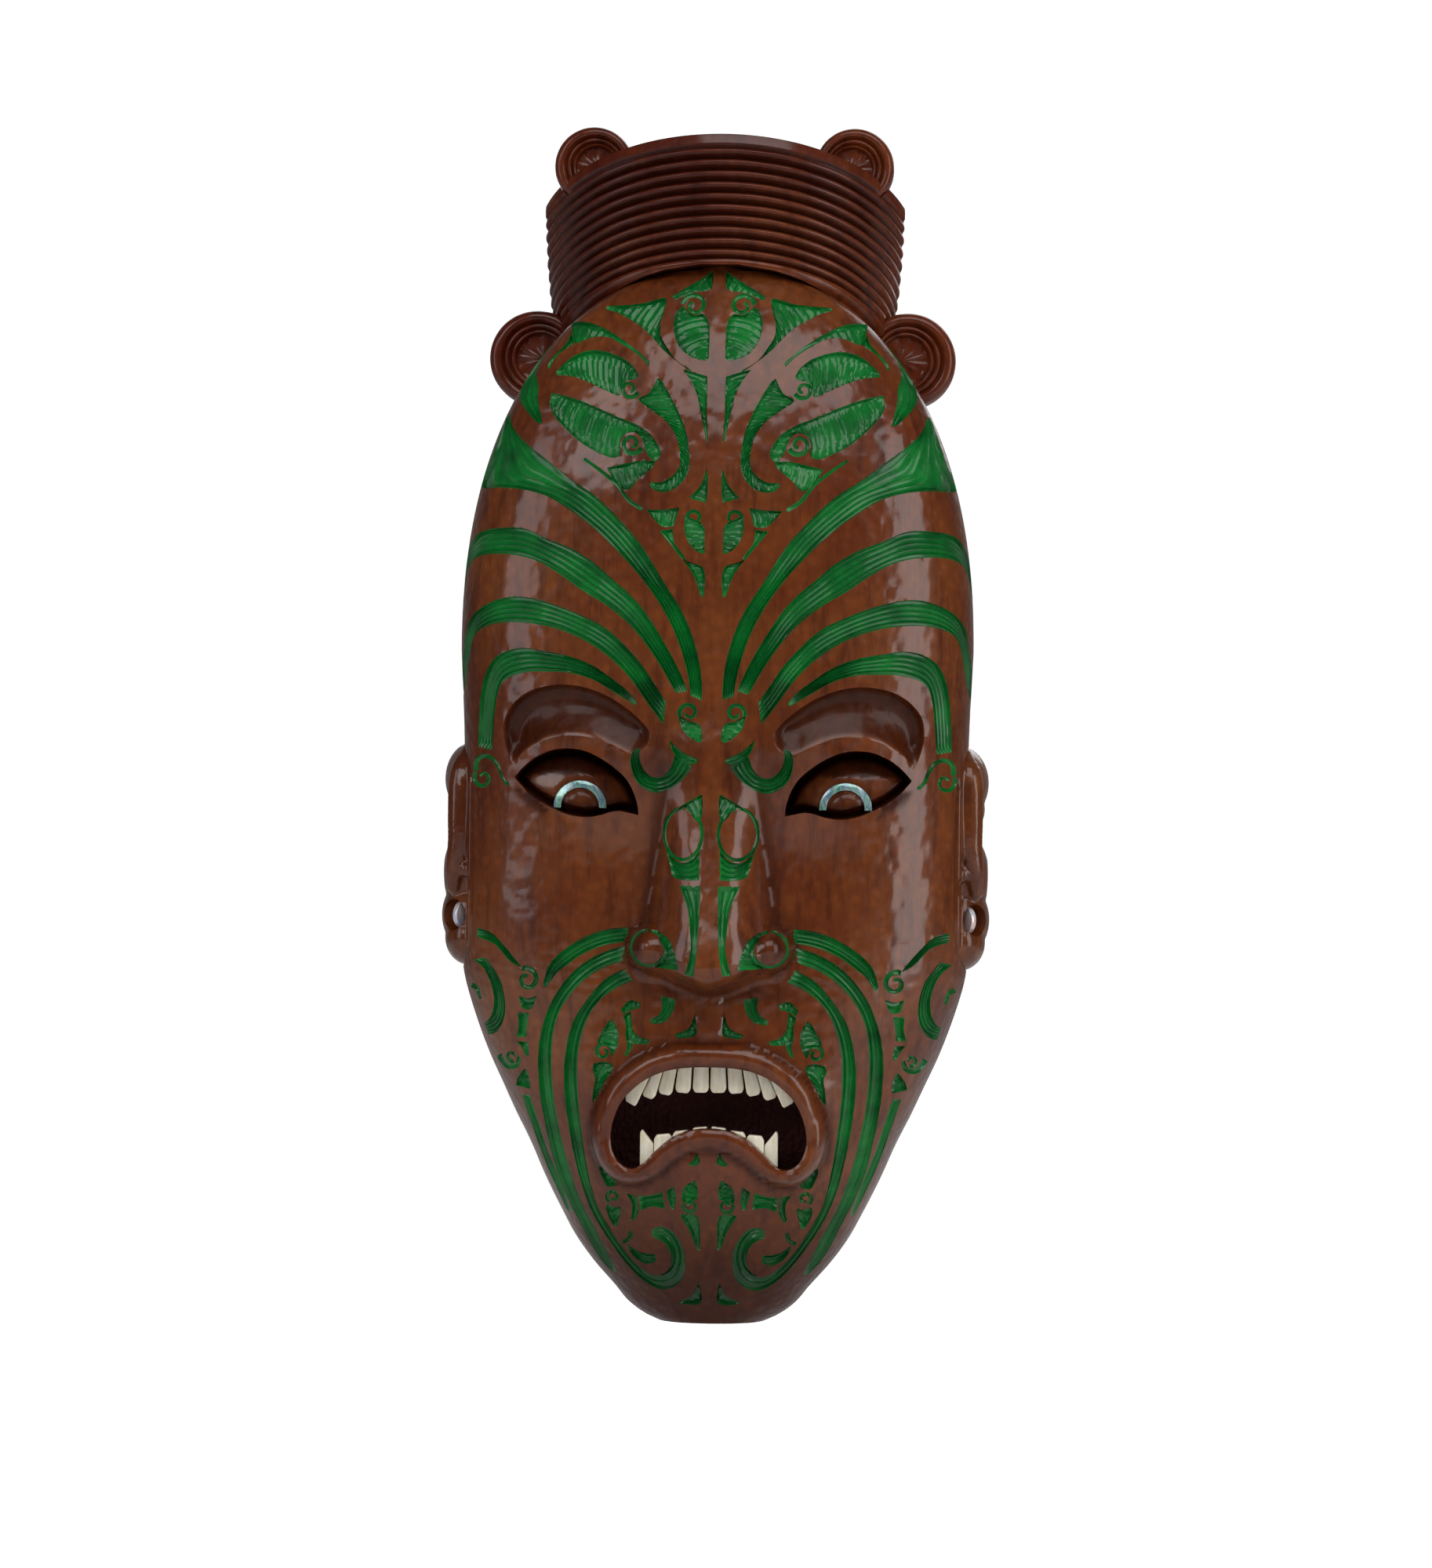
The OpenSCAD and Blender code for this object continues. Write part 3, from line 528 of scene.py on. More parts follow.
# Rays of the forehead, from the outline in to the nose's root
RAYS = [
    band(((88.5, 385), (86.5, 378), (80.4, 371), (70.3, 363), (60.2, 355), (50, 348), (40, 338.5),
         (30, 327), (20, 311), (13, 300), (8, 288), (5, 275), (4.3, 262)), ((89.5, 384), (95.5, 366),
         (100.6, 353.6), (90, 352.3), (80, 351), (70, 348), (60, 342), (50, 334.5), (40, 325), (30, 314),
         (22, 303), (16, 292), (12, 281), (9.7, 272), (8.6, 263.5)), 4),
    band(((124, 286), (114, 300), (108.6, 314), (105, 328), (100, 333.5), (90, 335), (80, 334.5), (70, 330),
         (60, 326), (50, 320), (42, 313), (35, 307), (28, 299), (21, 288), (14.8, 277), (9.8, 266)),
         ((124, 284), (113, 294), (108.4, 306), (105.5, 319), (102, 323), (95, 324.5), (85, 324),
         (75, 321.5), (65, 316), (55, 309), (45, 303), (35, 295), (28, 287), (21.7, 278), (14.2, 265)), 4),
    band(((124, 252), (113, 266), (107.5, 281), (105.5, 293), (102, 299), (95, 303.5), (85, 306), (75, 305),
         (65, 302), (55, 298), (45, 293), (38, 287), (29.7, 278), (23.6, 269), (18.5, 261.5)), ((124, 250),
         (112, 258), (106.8, 268), (104.5, 280), (102, 290), (98, 293.5), (90, 295.5), (80, 295.5),
         (70, 294), (60, 291), (50, 286), (41.8, 280), (34.7, 273), (27.5, 263), (19.6, 252.5)), 4),
    band(((99.5, 242), (99.2, 255), (97.5, 270), (93.5, 279), (87.7, 283), (79.8, 284.5), (69.8, 283),
         (59.8, 281), (49.7, 277), (41.6, 271.6), (34.5, 266), (30.5, 261)), ((93.5, 241), (93, 250),
         (91.4, 264), (88.6, 271), (79.6, 274.5), (69.7, 275), (59.6, 274.5), (49.6, 271.6), (41.5, 267),
         (35.5, 263.4), (31, 260.5)), 4),
    groove(((100.6, 233), (100.4, 237), (98, 239.3), (94, 239), (90.4, 235), (88.3, 230), (85.3, 227)), 2.2,
         1.2),
    curl(97.3, 230.3, 3.8, 40, -400, 1.2),
]

# Wings, leaves and hooks of the forehead
FOREHEAD = [
    leaf(((48.2, 429.3), (32.2, 430.4), (22.4, 432.8), (22.6, 428), (24.2, 421), (23.8, 416), (21, 411),
         (17, 405.5), (9.8, 400.6)), ((48.2, 428.6), (42, 426.4), (32, 420), (26, 414), (22, 409.5),
         (13.5, 402.5), (9.6, 400)), 16, 0.5),
    leaf(((2.4, 445), (7, 441.6), (12.5, 438), (20, 433.4)), ((2.6, 442), (3.6, 437), (11, 435.4),
         (19, 432)), 7, 0.4),
    leaf(((14.6, 429.5), (18, 425), (18.5, 420), (16.5, 412.5), (11.5, 407.4), (4.6, 405.2)), ((13, 427),
         (10, 425.3), (6.4, 425.8), (4, 422), (3.5, 415), (3.6, 406)), 10, 0.7),
    curl(10, 429.4, 4.6, 5, 430, 1.5),
    leaf(((14.5, 402), (11.5, 398), (8, 391), (6, 382), (3.5, 370.5)), ((4, 399), (3.9, 391), (3.8, 382),
         (3.1, 370)), 9, 0.4),
    leaf(((68.3, 400.9), (64, 405), (59, 408.5), (53, 410), (46, 409), (39, 406), (34.6, 402),
         (32.6, 398.4)), ((68.3, 400), (61, 399), (53, 396), (46, 392.5), (40.6, 390.4), (40, 393.4),
         (37.6, 396.6), (33.2, 397.6)), 17, 0.8),
    curl(36.2, 393.2, 3.4, 200, 440, 1.3),
    leaf(((70, 392), (60.5, 389.5), (50.5, 385.5), (40.4, 381), (32.4, 377.5), (27.4, 374), (24.4, 370),
         (22.8, 366), (24.2, 362.5)), ((70.5, 388), (68.5, 383), (62.4, 376), (55.4, 370), (48.3, 366),
         (42.3, 364), (39.4, 365.6), (39.6, 370), (37.6, 374), (33.4, 374.6), (30.2, 371.4), (28.6, 366.6),
         (25.6, 362.4)), 22, 0.8),
    curl(34.8, 370, 4, 200, 440, 1.5),
    leaf(((63, 423), (56, 422.7), (49, 420), (41, 415), (33, 409), (27.8, 404)), ((62, 419.5),
         (60.6, 413.6), (53, 415.9), (46, 415.8), (39, 412), (33, 407.8), (28, 402.7)), 13, 0.5),
    leaf(((62.4, 419), (64, 413.8), (70.7, 406.4), (72.2, 403)), ((60.8, 413.4), (66, 410), (69.6, 406),
         (71.6, 402.4)), 5, 0.3),
    leaf(((25, 398), (22.7, 396), (17.5, 387), (13.4, 378), (11.3, 370), (10.8, 360), (13.6, 354),
         (18.5, 350.4), (24, 350.2), (27.4, 353)), ((25.6, 395.5), (28, 391.4), (32.4, 388.7), (26.5, 384),
         (20.3, 379), (16.4, 373), (14.6, 366), (14.9, 360), (18, 356), (22.6, 353.6), (27, 353.8)), 26,
         0.5),
    band(((70, 414.5), (74, 410), (77.3, 402), (75.7, 395), (75.7, 390), (74.4, 384), (73.2, 378)),
         ((71.2, 414.6), (78, 406), (83, 396), (83.4, 390), (80.3, 385), (74.6, 378.6)), 2),
    groove(((55.3, 364), (48.3, 359), (41, 353), (36, 346.5), (29.5, 342)), 1.0, 1.8),
    leaf(((45.3, 359.6), (38, 361.2), (31, 362.6), (24.3, 362.4)), ((42, 354), (36.4, 350.6), (32, 355),
         (25.4, 360.4)), 8, 0.4),
    leaf(((28.4, 342), (21, 342.2), (14.2, 343.2)), ((26.4, 339.8), (21.4, 335.4), (16.4, 335.6)), 5, 0.3),
    leaf(((17.4, 334.6), (16.9, 330), (15.4, 325.6)), ((20.6, 334), (18, 329.6), (15.8, 325.4)), 3, 0.2),
    leaf(((11.4, 340), (12.2, 335.6), (11, 330), (8, 326), (4.3, 324)), ((6, 337.4), (4.2, 335), (4, 331),
         (4, 327.5), (3.9, 324)), 7, 0.5),
    curl(8.2, 339, 3, 330, 420, 1.1),
    leaf(((3.2, 360), (5.4, 353), (10.6, 347)), ((3, 358.5), (3.1, 350), (3.6, 345)), 5, 0.3),
    leaf(((13.2, 322.4), (8, 315), (4.9, 306)), ((11, 321), (4.3, 317.8), (4.1, 305.5)), 5, 0.3),
    groove(((22, 334), (18, 329), (14.4, 324.6), (12, 321.4)), 1.4, 1.4),
    leaf(((14, 257.5), (12.4, 251.6), (8.6, 247.8), (4.8, 245.6)), ((9.6, 254.6), (6.6, 254), (4.6, 252),
         (4.2, 246)), 5, 0.4),
    curl(9.6, 258.2, 3.6, 330, 400, 1.3),
    band(((18.6, 247.6), (14, 243), (9.4, 240.2), (4.6, 238.2)), ((17.4, 243.6), (14.4, 239.6),
         (10.8, 236.8), (5.2, 237.6)), 1),
    band(((7.6, 236.6), (11, 231.6), (16, 227.4), (22, 225), (27.4, 226.3), (31.4, 230), (33.6, 236),
         (33, 242), (29.8, 245.4)), ((15, 241), (17, 234.8), (20.6, 231.4), (24.6, 231), (27.8, 233.4),
         (29.8, 237), (30.4, 241), (29.4, 245)), 3),
]

NOSE = [
    ring_groove(11.4, 208, 8, 10.6, 1.2, 95),
    leaf(((3.3, 224.4), (8.4, 221.6), (13, 218.8), (16.4, 216)), ((3.4, 222), (3.7, 215.4), (5.4, 213),
         (11, 218.9), (15.4, 216.6)), 6, 0.3),
    band(((19.6, 204.5), (16.6, 198.4), (11.4, 195.6), (6.2, 198.2), (3.7, 203)), ((16, 190.6), (13, 189.4),
         (9.6, 189), (6.4, 189), (3.7, 189.4)), 3),
    band(((12.9, 187.6), (8.8, 178), (7.4, 168), (6.9, 160), (9.4, 149.5)), ((3.7, 187.6), (4, 176),
         (4.4, 166), (4.9, 158), (6.4, 149)), 2),
    ring_groove(25.3, 160.6, 7.2, 7.4, 1.1, 95),
    leaf(((20.6, 167), (16.4, 164), (13.8, 158), (12.3, 151.6)), ((20.8, 165), (18.4, 160.5), (19, 155.6),
         (22.6, 152.4)), 6, 0.4),
]

CHEEKS = [
    band(((33.6, 168.5), (40.3, 168), (48.3, 166), (56.3, 162), (63.3, 157), (67.8, 151.6), (70.4, 142.4)),
         ((33.6, 163), (43.3, 161.5), (53.3, 157.5), (60.3, 152.5), (65, 148.6), (69.6, 141.8)), 3),
    band(((34.6, 161), (43.3, 158.5), (53.3, 153), (61.3, 145), (67.3, 135), (71.3, 122), (72.3, 110),
         (71.3, 95), (68.2, 78), (65, 65), (59.8, 52), (55.7, 44), (48, 29), (40, 20)), ((35.3, 155),
         (44.3, 152), (53.3, 146), (60.3, 138), (65, 128), (66.6, 115), (66.1, 100), (64, 85), (60, 68),
         (55, 53), (49.5, 42), (44, 31), (39.2, 20.2)), 2),
    band(((34.3, 152), (43.3, 147), (51.3, 138), (57.3, 128), (60.6, 113), (60.8, 100), (59.2, 85),
         (56, 68), (52, 54), (46.8, 43), (39.6, 32), (31.5, 22), (23.5, 16), (17.5, 15.4), (11.8, 19.6),
         (10, 27), (11, 34), (14.5, 40), (19.5, 43), (25, 41)), ((31.4, 147), (38.3, 144), (46.3, 138),
         (51.3, 130), (54.9, 118), (55.4, 103), (53.9, 85), (51, 65), (47.6, 52), (42.4, 42), (35.2, 31),
         (27.5, 23.4), (22.5, 21), (17.7, 23.2), (15.7, 28), (16.6, 33.6), (19.6, 37), (24.8, 39)), 2),
    band(((80.3, 97.4), (76, 85), (72, 73), (67.5, 62), (59.6, 45)), ((76.8, 97.8), (73, 85), (69.2, 73),
         (64.9, 62.6), (58.8, 45.6)), 1),
    leaf(((78.3, 108.4), (81.4, 104), (82.6, 100.2)), ((77.6, 107.6), (76.4, 103), (76.3, 99.2)), 3, 0.3),
    band(((100.4, 167), (93, 165), (86, 158.4), (80.8, 152.6)), ((100.2, 163.6), (91.6, 160.8),
         (84.6, 153.6), (78.4, 150.4)), 3),
    curl(77.2, 146, 4.4, 60, 430, 1.6),
    band(((96.4, 155.4), (90, 147), (87.2, 138), (87.6, 129), (91.4, 122.8), (96, 122)), ((101.6, 154),
         (96, 149.6), (92.4, 142), (91.8, 134.4), (93.8, 128.6), (97, 126)), 3),
    groove(((103, 142.6), (100, 141.6), (98.2, 136.4)), 2.2, 1.2),
    band(((81.4, 139.2), (77.3, 137.8), (72.3, 139.4)), ((80, 134.6), (77, 133.4), (74.2, 134.6)), 1),
    band(((81.2, 132.6), (80.6, 127), (81.8, 121)), ((76.2, 132.6), (77.4, 127), (77.8, 121)), 1),
    leaf(((81.8, 119.8), (79.4, 117), (77.4, 113)), ((77.4, 120), (76.8, 117), (76.6, 113.4)), 2, 0.2),
    groove(((90.4, 113.4), (86.4, 108.8), (82, 109.6), (80.6, 113.6)), 3.2, 1.6),
    curl(84, 113.2, 2.2, 250, 330, 1.1),
]

LIPS_AND_CHIN = [
    band(((20.4, 141), (19.4, 136), (21.2, 132), (25.4, 130.2)), ((14.5, 140.2), (15.2, 134.4),
         (18.8, 129.6), (25, 128.8)), 1),
    leaf(((37, 134.4), (33.3, 138), (28.4, 137)), ((36, 132.4), (33.4, 134.2), (29, 135.4)), 4, 0.2),
    leaf(((33, 134), (32.6, 130), (32, 126), (29.6, 123.2), (24.4, 121.6)), ((36, 132.2), (34.8, 128),
         (34.6, 123), (31, 120.6), (25, 120.4)), 6, 0.3),
    leaf(((34.8, 123), (34, 119), (35.4, 114.8)), ((31.6, 122), (32.4, 118.4), (34.8, 114.8)), 3, 0.2),
    leaf(((41, 130.6), (38.4, 126), (38.2, 120), (40.8, 114.6)), ((41.8, 129.8), (45.2, 124), (46.6, 120.4),
         (42.2, 119)), 7, 0.5),
    curl(44.3, 116.6, 3, 120, -400, 1.2),
    leaf(((48.8, 111.4), (43.3, 112.4), (40, 110.6), (43.6, 104), (47.6, 96)), ((49, 109.6), (47.6, 106),
         (48.2, 101), (48.8, 95)), 7, 0.3),
    leaf(((5.8, 133.4), (8.4, 127), (14.8, 124)), ((5.7, 131), (5.8, 124.4), (13.8, 122.8)), 4, 0.2),
    leaf(((4.6, 75.4), (5.8, 72.4), (8.4, 69.8)), ((4.3, 74), (3.6, 71.2), (7, 69.2)), 2, 0.2),
    leaf(((45.6, 69), (42, 65), (38, 61.4)), ((45.8, 67.4), (44.4, 62.8), (42.4, 59.7), (38.6, 60.4)), 4,
         0.2),
    band(((30, 56), (24.6, 56.2), (18.6, 58.4)), ((28.8, 49.8), (23.8, 51.9), (17.6, 50.8)), 2),
    leaf(((34.4, 57), (32, 53), (32, 49), (32.8, 45)), ((31, 56.6), (29.8, 53), (29.6, 49.2), (31.4, 45.4)),
         4, 0.2),
    leaf(((17.4, 58.6), (16.4, 55), (15.4, 50.6)), ((14.6, 61), (13.6, 55), (14.8, 50.2)), 4, 0.2),
    leaf(((5, 63.6), (9.6, 60.6), (11, 56.6), (10.4, 53)), ((4.7, 62), (4.5, 58.4), (4.6, 55.6),
         (6.6, 54.6)), 5, 0.4),
    curl(7.4, 52.4, 2.8, 20, -400, 1.1),
    leaf(((12, 48.4), (8, 42), (4.5, 32.6)), ((10.6, 48.8), (4.6, 47.6), (3.8, 32.4)), 6, 0.3),
    leaf(((43.2, 52), (40, 50.4), (37, 51), (38.9, 42)), ((43.4, 50.8), (42.4, 46.6), (39.5, 41.8)), 4,
         0.3),
    curl(40.2, 55.4, 2.6, 300, 400, 1.1),
    band(((35.2, 35.4), (29, 31.2), (21.8, 30.6)), ((34.6, 33.2), (31, 28.8), (25.4, 26.4), (21.4, 28.8)),
         2),
    groove(((32.6, 41), (33.6, 37.4), (36.8, 35.2)), 1.8, 1.4),
    leaf(((4.1, 19.4), (7, 12.8), (13.2, 9.4)), ((3.9, 17.4), (3.8, 9.4), (12, 8.8)), 4, 0.2),
]
CARVING = RAYS + FOREHEAD + NOSE + CHEEKS + LIPS_AND_CHIN


def channel_cutters(paint):
    deep, high = sizes().channel_depth / MM, sizes().rib_height / MM
    cutters = []
    for k, (kind, edge_a, edge_b, detail) in enumerate(CARVING):
        for sign in (-1, 1):
            name = f"channel_{k}_{'left' if sign < 0 else 'right'}"
            if kind == "band":
                steps = (detail + 1) * 4
                across = [0, 0.02] + [j / steps for j in range(1, steps)] + [0.98, 1]
                floor, pitch = ribbed_floor(detail, deep, high), 2.6
            elif kind == "leaf":
                across = [0, 0.04, 0.12, 0.25, 0.4, 0.6, 0.75, 0.88, 0.96, 1]
                count, lean = detail
                floor = notched_floor(count, deep * 1.05, high * 1.1, lean)
                longest = max(line_length(rounded(edge_a)), line_length(rounded(edge_b)))
                pitch = longest / (count * 4 + 2)
            else:
                across = [0, 0.2, 0.5, 0.8, 1]
                floor, pitch = plain_floor(deep * 0.75), 0.8
            cutters.append(strip(name, edge_a, edge_b, across, floor, paint, sign, pitch, grow=0.3))
    return cutters


# ---- face block ----

def face_sheet():
    """Points of the face and its side walls, evenly spaced round each row."""
    rows, columns = sizes().rows, sizes().columns
    fine = np.linspace(0, 1, 2000)
    density = 1 + 1.3 * np.exp(-(((fine * HEAD_TOP - 147) / 9) ** 2))
    place_of = np.cumsum(density)
    heights = np.interp(np.linspace(place_of[0], place_of[-1], rows + 1), place_of, fine) * HEAD_TOP
    points = np.zeros((rows + 1, columns + 1, 3))
    angle = np.linspace(-math.pi / 2, math.pi / 2, 401)
    for i, z in enumerate(heights):
        zs = np.full(angle.shape, z)
        w, s = float(half_width(z)), float(side_depth(z))
        x, d = w * np.sin(angle), dome(w * np.sin(angle), zs)
        d[0] = d[-1] = s
        wall = np.linspace(4, s, 8)[:-1]
        line = np.stack([np.concatenate([np.full(7, -w), x, np.full(7, w)]),
                         np.concatenate([wall, d, wall[::-1]])], 1)
        line = even(line, columns + 1)
        x = line[:, 0]
        inner = np.abs(x) < w - 1e-4
        zs = np.full(x.shape, z)
        depth = np.where(inner, face(x, zs), line[:, 1])
        steep = 0.9 * np.exp(-(((np.abs(x) - smooth_value(NOSE_WIDTH, zs)) / 4) ** 2))
        steep = steep * smoothstep(250 - zs, 0, 20)
        depth = depth - sizes().adze_depth / MM * marks(x, zs) * smoothstep(depth, 10, 25) * (1 - steep)
        points[i] = place(x, depth, zs)
    return points


def hollow_cutter(material):
    """The hollow behind the face."""
    low, high, deep = 20, HEAD_TOP - 42, 56
    z = np.linspace(low, high, 61)[:, None]
    u = np.sin(np.linspace(-math.pi / 2, math.pi / 2, 41))[None, :]
    middle, half = (low + high) / 2, (high - low) / 2
    depth = 6 + (deep - 6) * (1 - np.clip(np.abs(z - middle) / half, 0, 1) ** 4) ** 0.25
    depth = depth * np.clip(1 - np.abs(u) ** 4, 0, 1) ** 0.25
    x = np.maximum(8, half_width(z) - 24) * u
    zs = z + 0 * u
    gouged = depth + 0.8 * marks(x * 0.45, zs * 0.45) * smoothstep(depth, 2, 20)
    block = shaped_grid(40, 60, place(x, gouged, zs), place(x, 0 * depth - 8, zs))
    return new_piece("hollow", block, material)


def rounded_box(low_x, low_z, high_x, high_z, r):
    out = []
    for cx, cz, start in ((high_x - r, high_z - r, 0), (low_x + r, high_z - r, 90),
                          (low_x + r, low_z + r, 180), (high_x - r, low_z + r, 270)):
        for k in range(7):
            at = math.radians(start + 15 * k)
            out.append((cx + r * math.cos(at), cz + r * math.sin(at)))
    return out


def ear_seat_cutter(sign, material):
    """Rounded recess in the side wall that an ear's root sits in."""
    low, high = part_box("ear_left")
    seat = -high.x / MM - 0.1
    middle = ((low.z + high.z) / 2 - CHIN) / MM
    line = rounded_box(-58.2, middle - 48.2, -5.8, middle + 48.2, 22)
    return prism("seat", line, lambda y, z: (sign * seat * MM, y * MM, z * MM + CHIN), 0, sign * 150 * MM,
                 material)


def round_cutter(x, z, r, deep, shallow, material):
    segments = 72
    line = [(x + r * math.cos(2 * math.pi * k / segments), z + r * math.sin(2 * math.pi * k / segments))
            for k in range(segments)]
    return outline_block("round", line, deep, shallow, material, 1)


LUGS = {"side_scroll": 20.5, "top_scroll": 17.0}


def lug_centre(name):
    """Middle and radius of a scroll lug on the right side."""
    high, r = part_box(f"{name}_right")[1], LUGS[name]
    if name == "top_scroll":
        return 56, (high.z - CHIN) / MM - r, r
    return high.x / MM - r, HEAD_TOP * 0.92, r


def eye_floor(u, v, wide, x, z):
    edge = np.minimum(v, 1 - v) * wide
    r = np.hypot(x - RING[0], z - RING[1])
    ball = eyeball(x, z)
    seat = smoothstep(r, 7.3, 7.9) * (1 - smoothstep(r, 11.2, 11.8))
    boss = 1.5 * np.sqrt(np.clip(1 - (r / 7.2) ** 2, 0, 1)) - 0.7 * seat
    return ball + boss - 4.2 * (1 - smoothstep(edge, 0.8, 4.6))


def socket_floor(u, v, wide, x, z):
    fall = smooth_value(((0, 1.4), (0.03, 2.9), (0.1, 4.6), (0.2, 5.7), (0.34, 6.0), (0.5, 5.2), (0.66, 3.7),
                         (0.82, 1.8), (0.93, 0.6), (1, 0.1)), v)
    return fall * smoothstep(np.minimum(u, 1 - u), 0, 0.12) * smoothstep(wide, 0.5, 12)


def mirrored(outline):
    """A closed outline from its right half, given from top to bottom."""
    right = list(outline)
    left = [(-x, z) for x, z in reversed(right) if x > 0]
    return right + left


class MASK_OT_face(bpy.types.Operator):
    """Carve the face block, its hollow back, eyes, mouth and painted channels"""
    bl_idname = "mask.face"
    bl_label = "Face"

    def execute(self, context):
        varnish, paint, dark = face_varnish(), channel_paint(), hollow_wood()
        bm = shaped_grid(sizes().columns, sizes().rows, face_sheet())
        rim = [e for e in bm.edges if e.is_boundary]
        for v in new_points(bmesh.ops.extrude_edge_only(bm, edges=rim)):
            v.co.y = 0
        bmesh.ops.remove_doubles(bm, verts=[v for v in bm.verts if v.co.y > -1e-5], dist=2e-5)
        bmesh.ops.holes_fill(bm, edges=[e for e in bm.edges if e.is_boundary], sides=0)
        bmesh.ops.recalc_face_normals(bm, faces=bm.faces[:])
        piece = new_piece("carved_face", bm, varnish, paint, dark)
        ledge = rounded_box(-57.2, 52.8, 57.2, 126.7, 36)
        blocks = [hollow_cutter(dark),
                  outline_block("mouth", mirrored(LIP_INNER), 130, BOARD_FRONT - 1, varnish, 4),
                  outline_block("roots", mirrored(ROOTS), TEETH_FRONT + 0.15, BOARD_FRONT - 1, dark, 4),
                  outline_block("ledge", ledge, BOARD_FRONT + 0.05, -5, dark, 1)]
        socket_across = [0, 0.012] + [k / 24 for k in range(1, 24)] + [0.985, 1]
        eye_across = [0, 0.012] + [k / 26 for k in range(1, 26)] + [0.988, 1]
        for sign in (-1, 1):
            blocks.append(ear_seat_cutter(sign, varnish))
            blocks.append(strip("socket", BROW_EDGE, LID_RIDGE, socket_across, socket_floor, varnish, sign,
                                1.4, 0.3))
            blocks.append(strip("eye", LID_UPPER, LID_LOWER, eye_across, eye_floor, varnish, sign, 1.2, 1.2,
                                absolute=True))
        low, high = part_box("hanger_plate")
        seat = rounded_box(low.x / MM - 0.15, (low.z - CHIN) / MM - 0.15, high.x / MM + 0.15,
                           (high.z - CHIN) / MM + 0.15, 12)
        entry = -CHIN / MM
        pocket = rounded_box(-5.5, entry - 5.5, 5.5, entry + 14.5, 5.4)
        blocks.append(outline_block("plate_seat", seat, -low.y / MM + 0.05, -5, dark, 1))
        blocks.append(outline_block("screw_pocket", pocket, 10.6, -5, dark, 1))
        carve(piece, blocks)
        carve(piece, channel_cutters(paint))
        shade_recesses(piece)
        finish_piece(piece, "mask_body", 32)
        return {"FINISHED"}


def shade_recesses(piece):
    """Stores painted shade on each point, darkest where it lies deep below the face's surface."""
    mesh = piece.data
    co = np.zeros(len(mesh.vertices) * 3)
    mesh.vertices.foreach_get("co", co)
    co = co.reshape(-1, 3) / MM
    x, depth, z = co[:, 0], -co[:, 1], np.clip(co[:, 2] - CHIN / MM, 0, HEAD_TOP)
    a = np.minimum(np.abs(x), half_width(z))
    below = face(a, z) - depth
    # painted shade in the recesses, growing with the depth below the surface
    painted_shade = 0.75 * smoothstep(below, 0.8, 7)
    # eyes: painted shade under the lids and in the grooves round the eyeball, and a darker pupil boss
    lids = np.concatenate([even(rounded(LID_UPPER), 60), even(rounded(LID_LOWER), 60)[::-1]])
    near = line_distance(a, z, lids)
    ball = eyeball(a, z)
    in_eye = (np.abs(depth - ball) < 6) & (a > 30) & (a < 83) & (z > 213) & (z < 244)
    painted_shade = np.where(in_eye, 0.95 * (1 - smoothstep(near, 2.0, 6.5)) + 0.3 * smoothstep(ball - depth, 0.3, 2)
                     + 0.5 * (np.hypot(a - RING[0], z - RING[1]) < 7.6), painted_shade)
    in_socket = (a > 22) & (a < 90) & (z > 232) & (z < 271)
    lip = line_distance(a, z, LIP_MIDDLE) - LIP_HALF
    nose_side = (a - smooth_value(NOSE_WIDTH, z) - 0.8) / 3.6
    wing = (np.hypot(a - WING[0], z - WING[1]) - 10.2) / 2.0
    # more painted shade: sockets, under the nose, lips, nose sides, wings, between brows, under crown, chin,
    # sides
    for layer in (np.where(in_socket, 0.8 * smoothstep(below, 0.15, 1.6), 0),
                  0.6 * np.exp(-((a / 30) ** 2) - ((z - 141.5) / 4) ** 2),
                  0.75 * np.exp(-((lip / np.where(lip > 0, 2.4, 1.2)) ** 2)) * (below < 2.5),
                  0.7 * np.exp(-(nose_side**2)) * smoothstep(z, 150, 160) * (1 - smoothstep(z, 222, 240)),
                  0.6 * np.exp(-(wing**2)) * (a > 24),
                  0.45 * np.exp(-(((a - 22) / 14) ** 2) - ((z - 236) / 12) ** 2),
                  0.5 * smoothstep(z, 428, 446),
                  0.85 * smoothstep(75 - z, 0, 62),
                  0.45 * smoothstep(a / half_width(z), 0.9, 1.0)):
        painted_shade = np.maximum(painted_shade, layer)
    layer = mesh.attributes.new("painted_shade", "FLOAT", "POINT")
    layer.data.foreach_set("value", np.clip(painted_shade, 0, 1))


# ---- ears ----

def ball(bm, centre, radii, sign):
    """A stretched ball at (x, depth, z)."""
    made = bmesh.ops.create_icosphere(bm, subdivisions=4, radius=1)["verts"]
    x, d, z = centre
    shape = (Matrix.Translation((sign * x * MM, -d * MM, z * MM + CHIN))
             @ Matrix.Diagonal((*(r * MM for r in radii), 1)))
    bmesh.ops.transform(bm, matrix=shape, verts=made)


def roll(bm, points, sign):
    """Overlapping balls along a line of (x, depth, z, radius)."""
    for x, d, z, r in even(rounded(points), 26):
        made = bmesh.ops.create_icosphere(bm, subdivisions=2, radius=r * MM)["verts"]
        bmesh.ops.translate(bm, vec=(sign * x * MM, -d * MM, z * MM + CHIN), verts=made)


def cone(bm, low_r, high_r, tall, matrix):
    made = bmesh.ops.create_cone(bm, cap_ends=True, segments=64, radius1=low_r, radius2=high_r, depth=tall)
    bmesh.ops.transform(bm, matrix=matrix, verts=made["verts"])


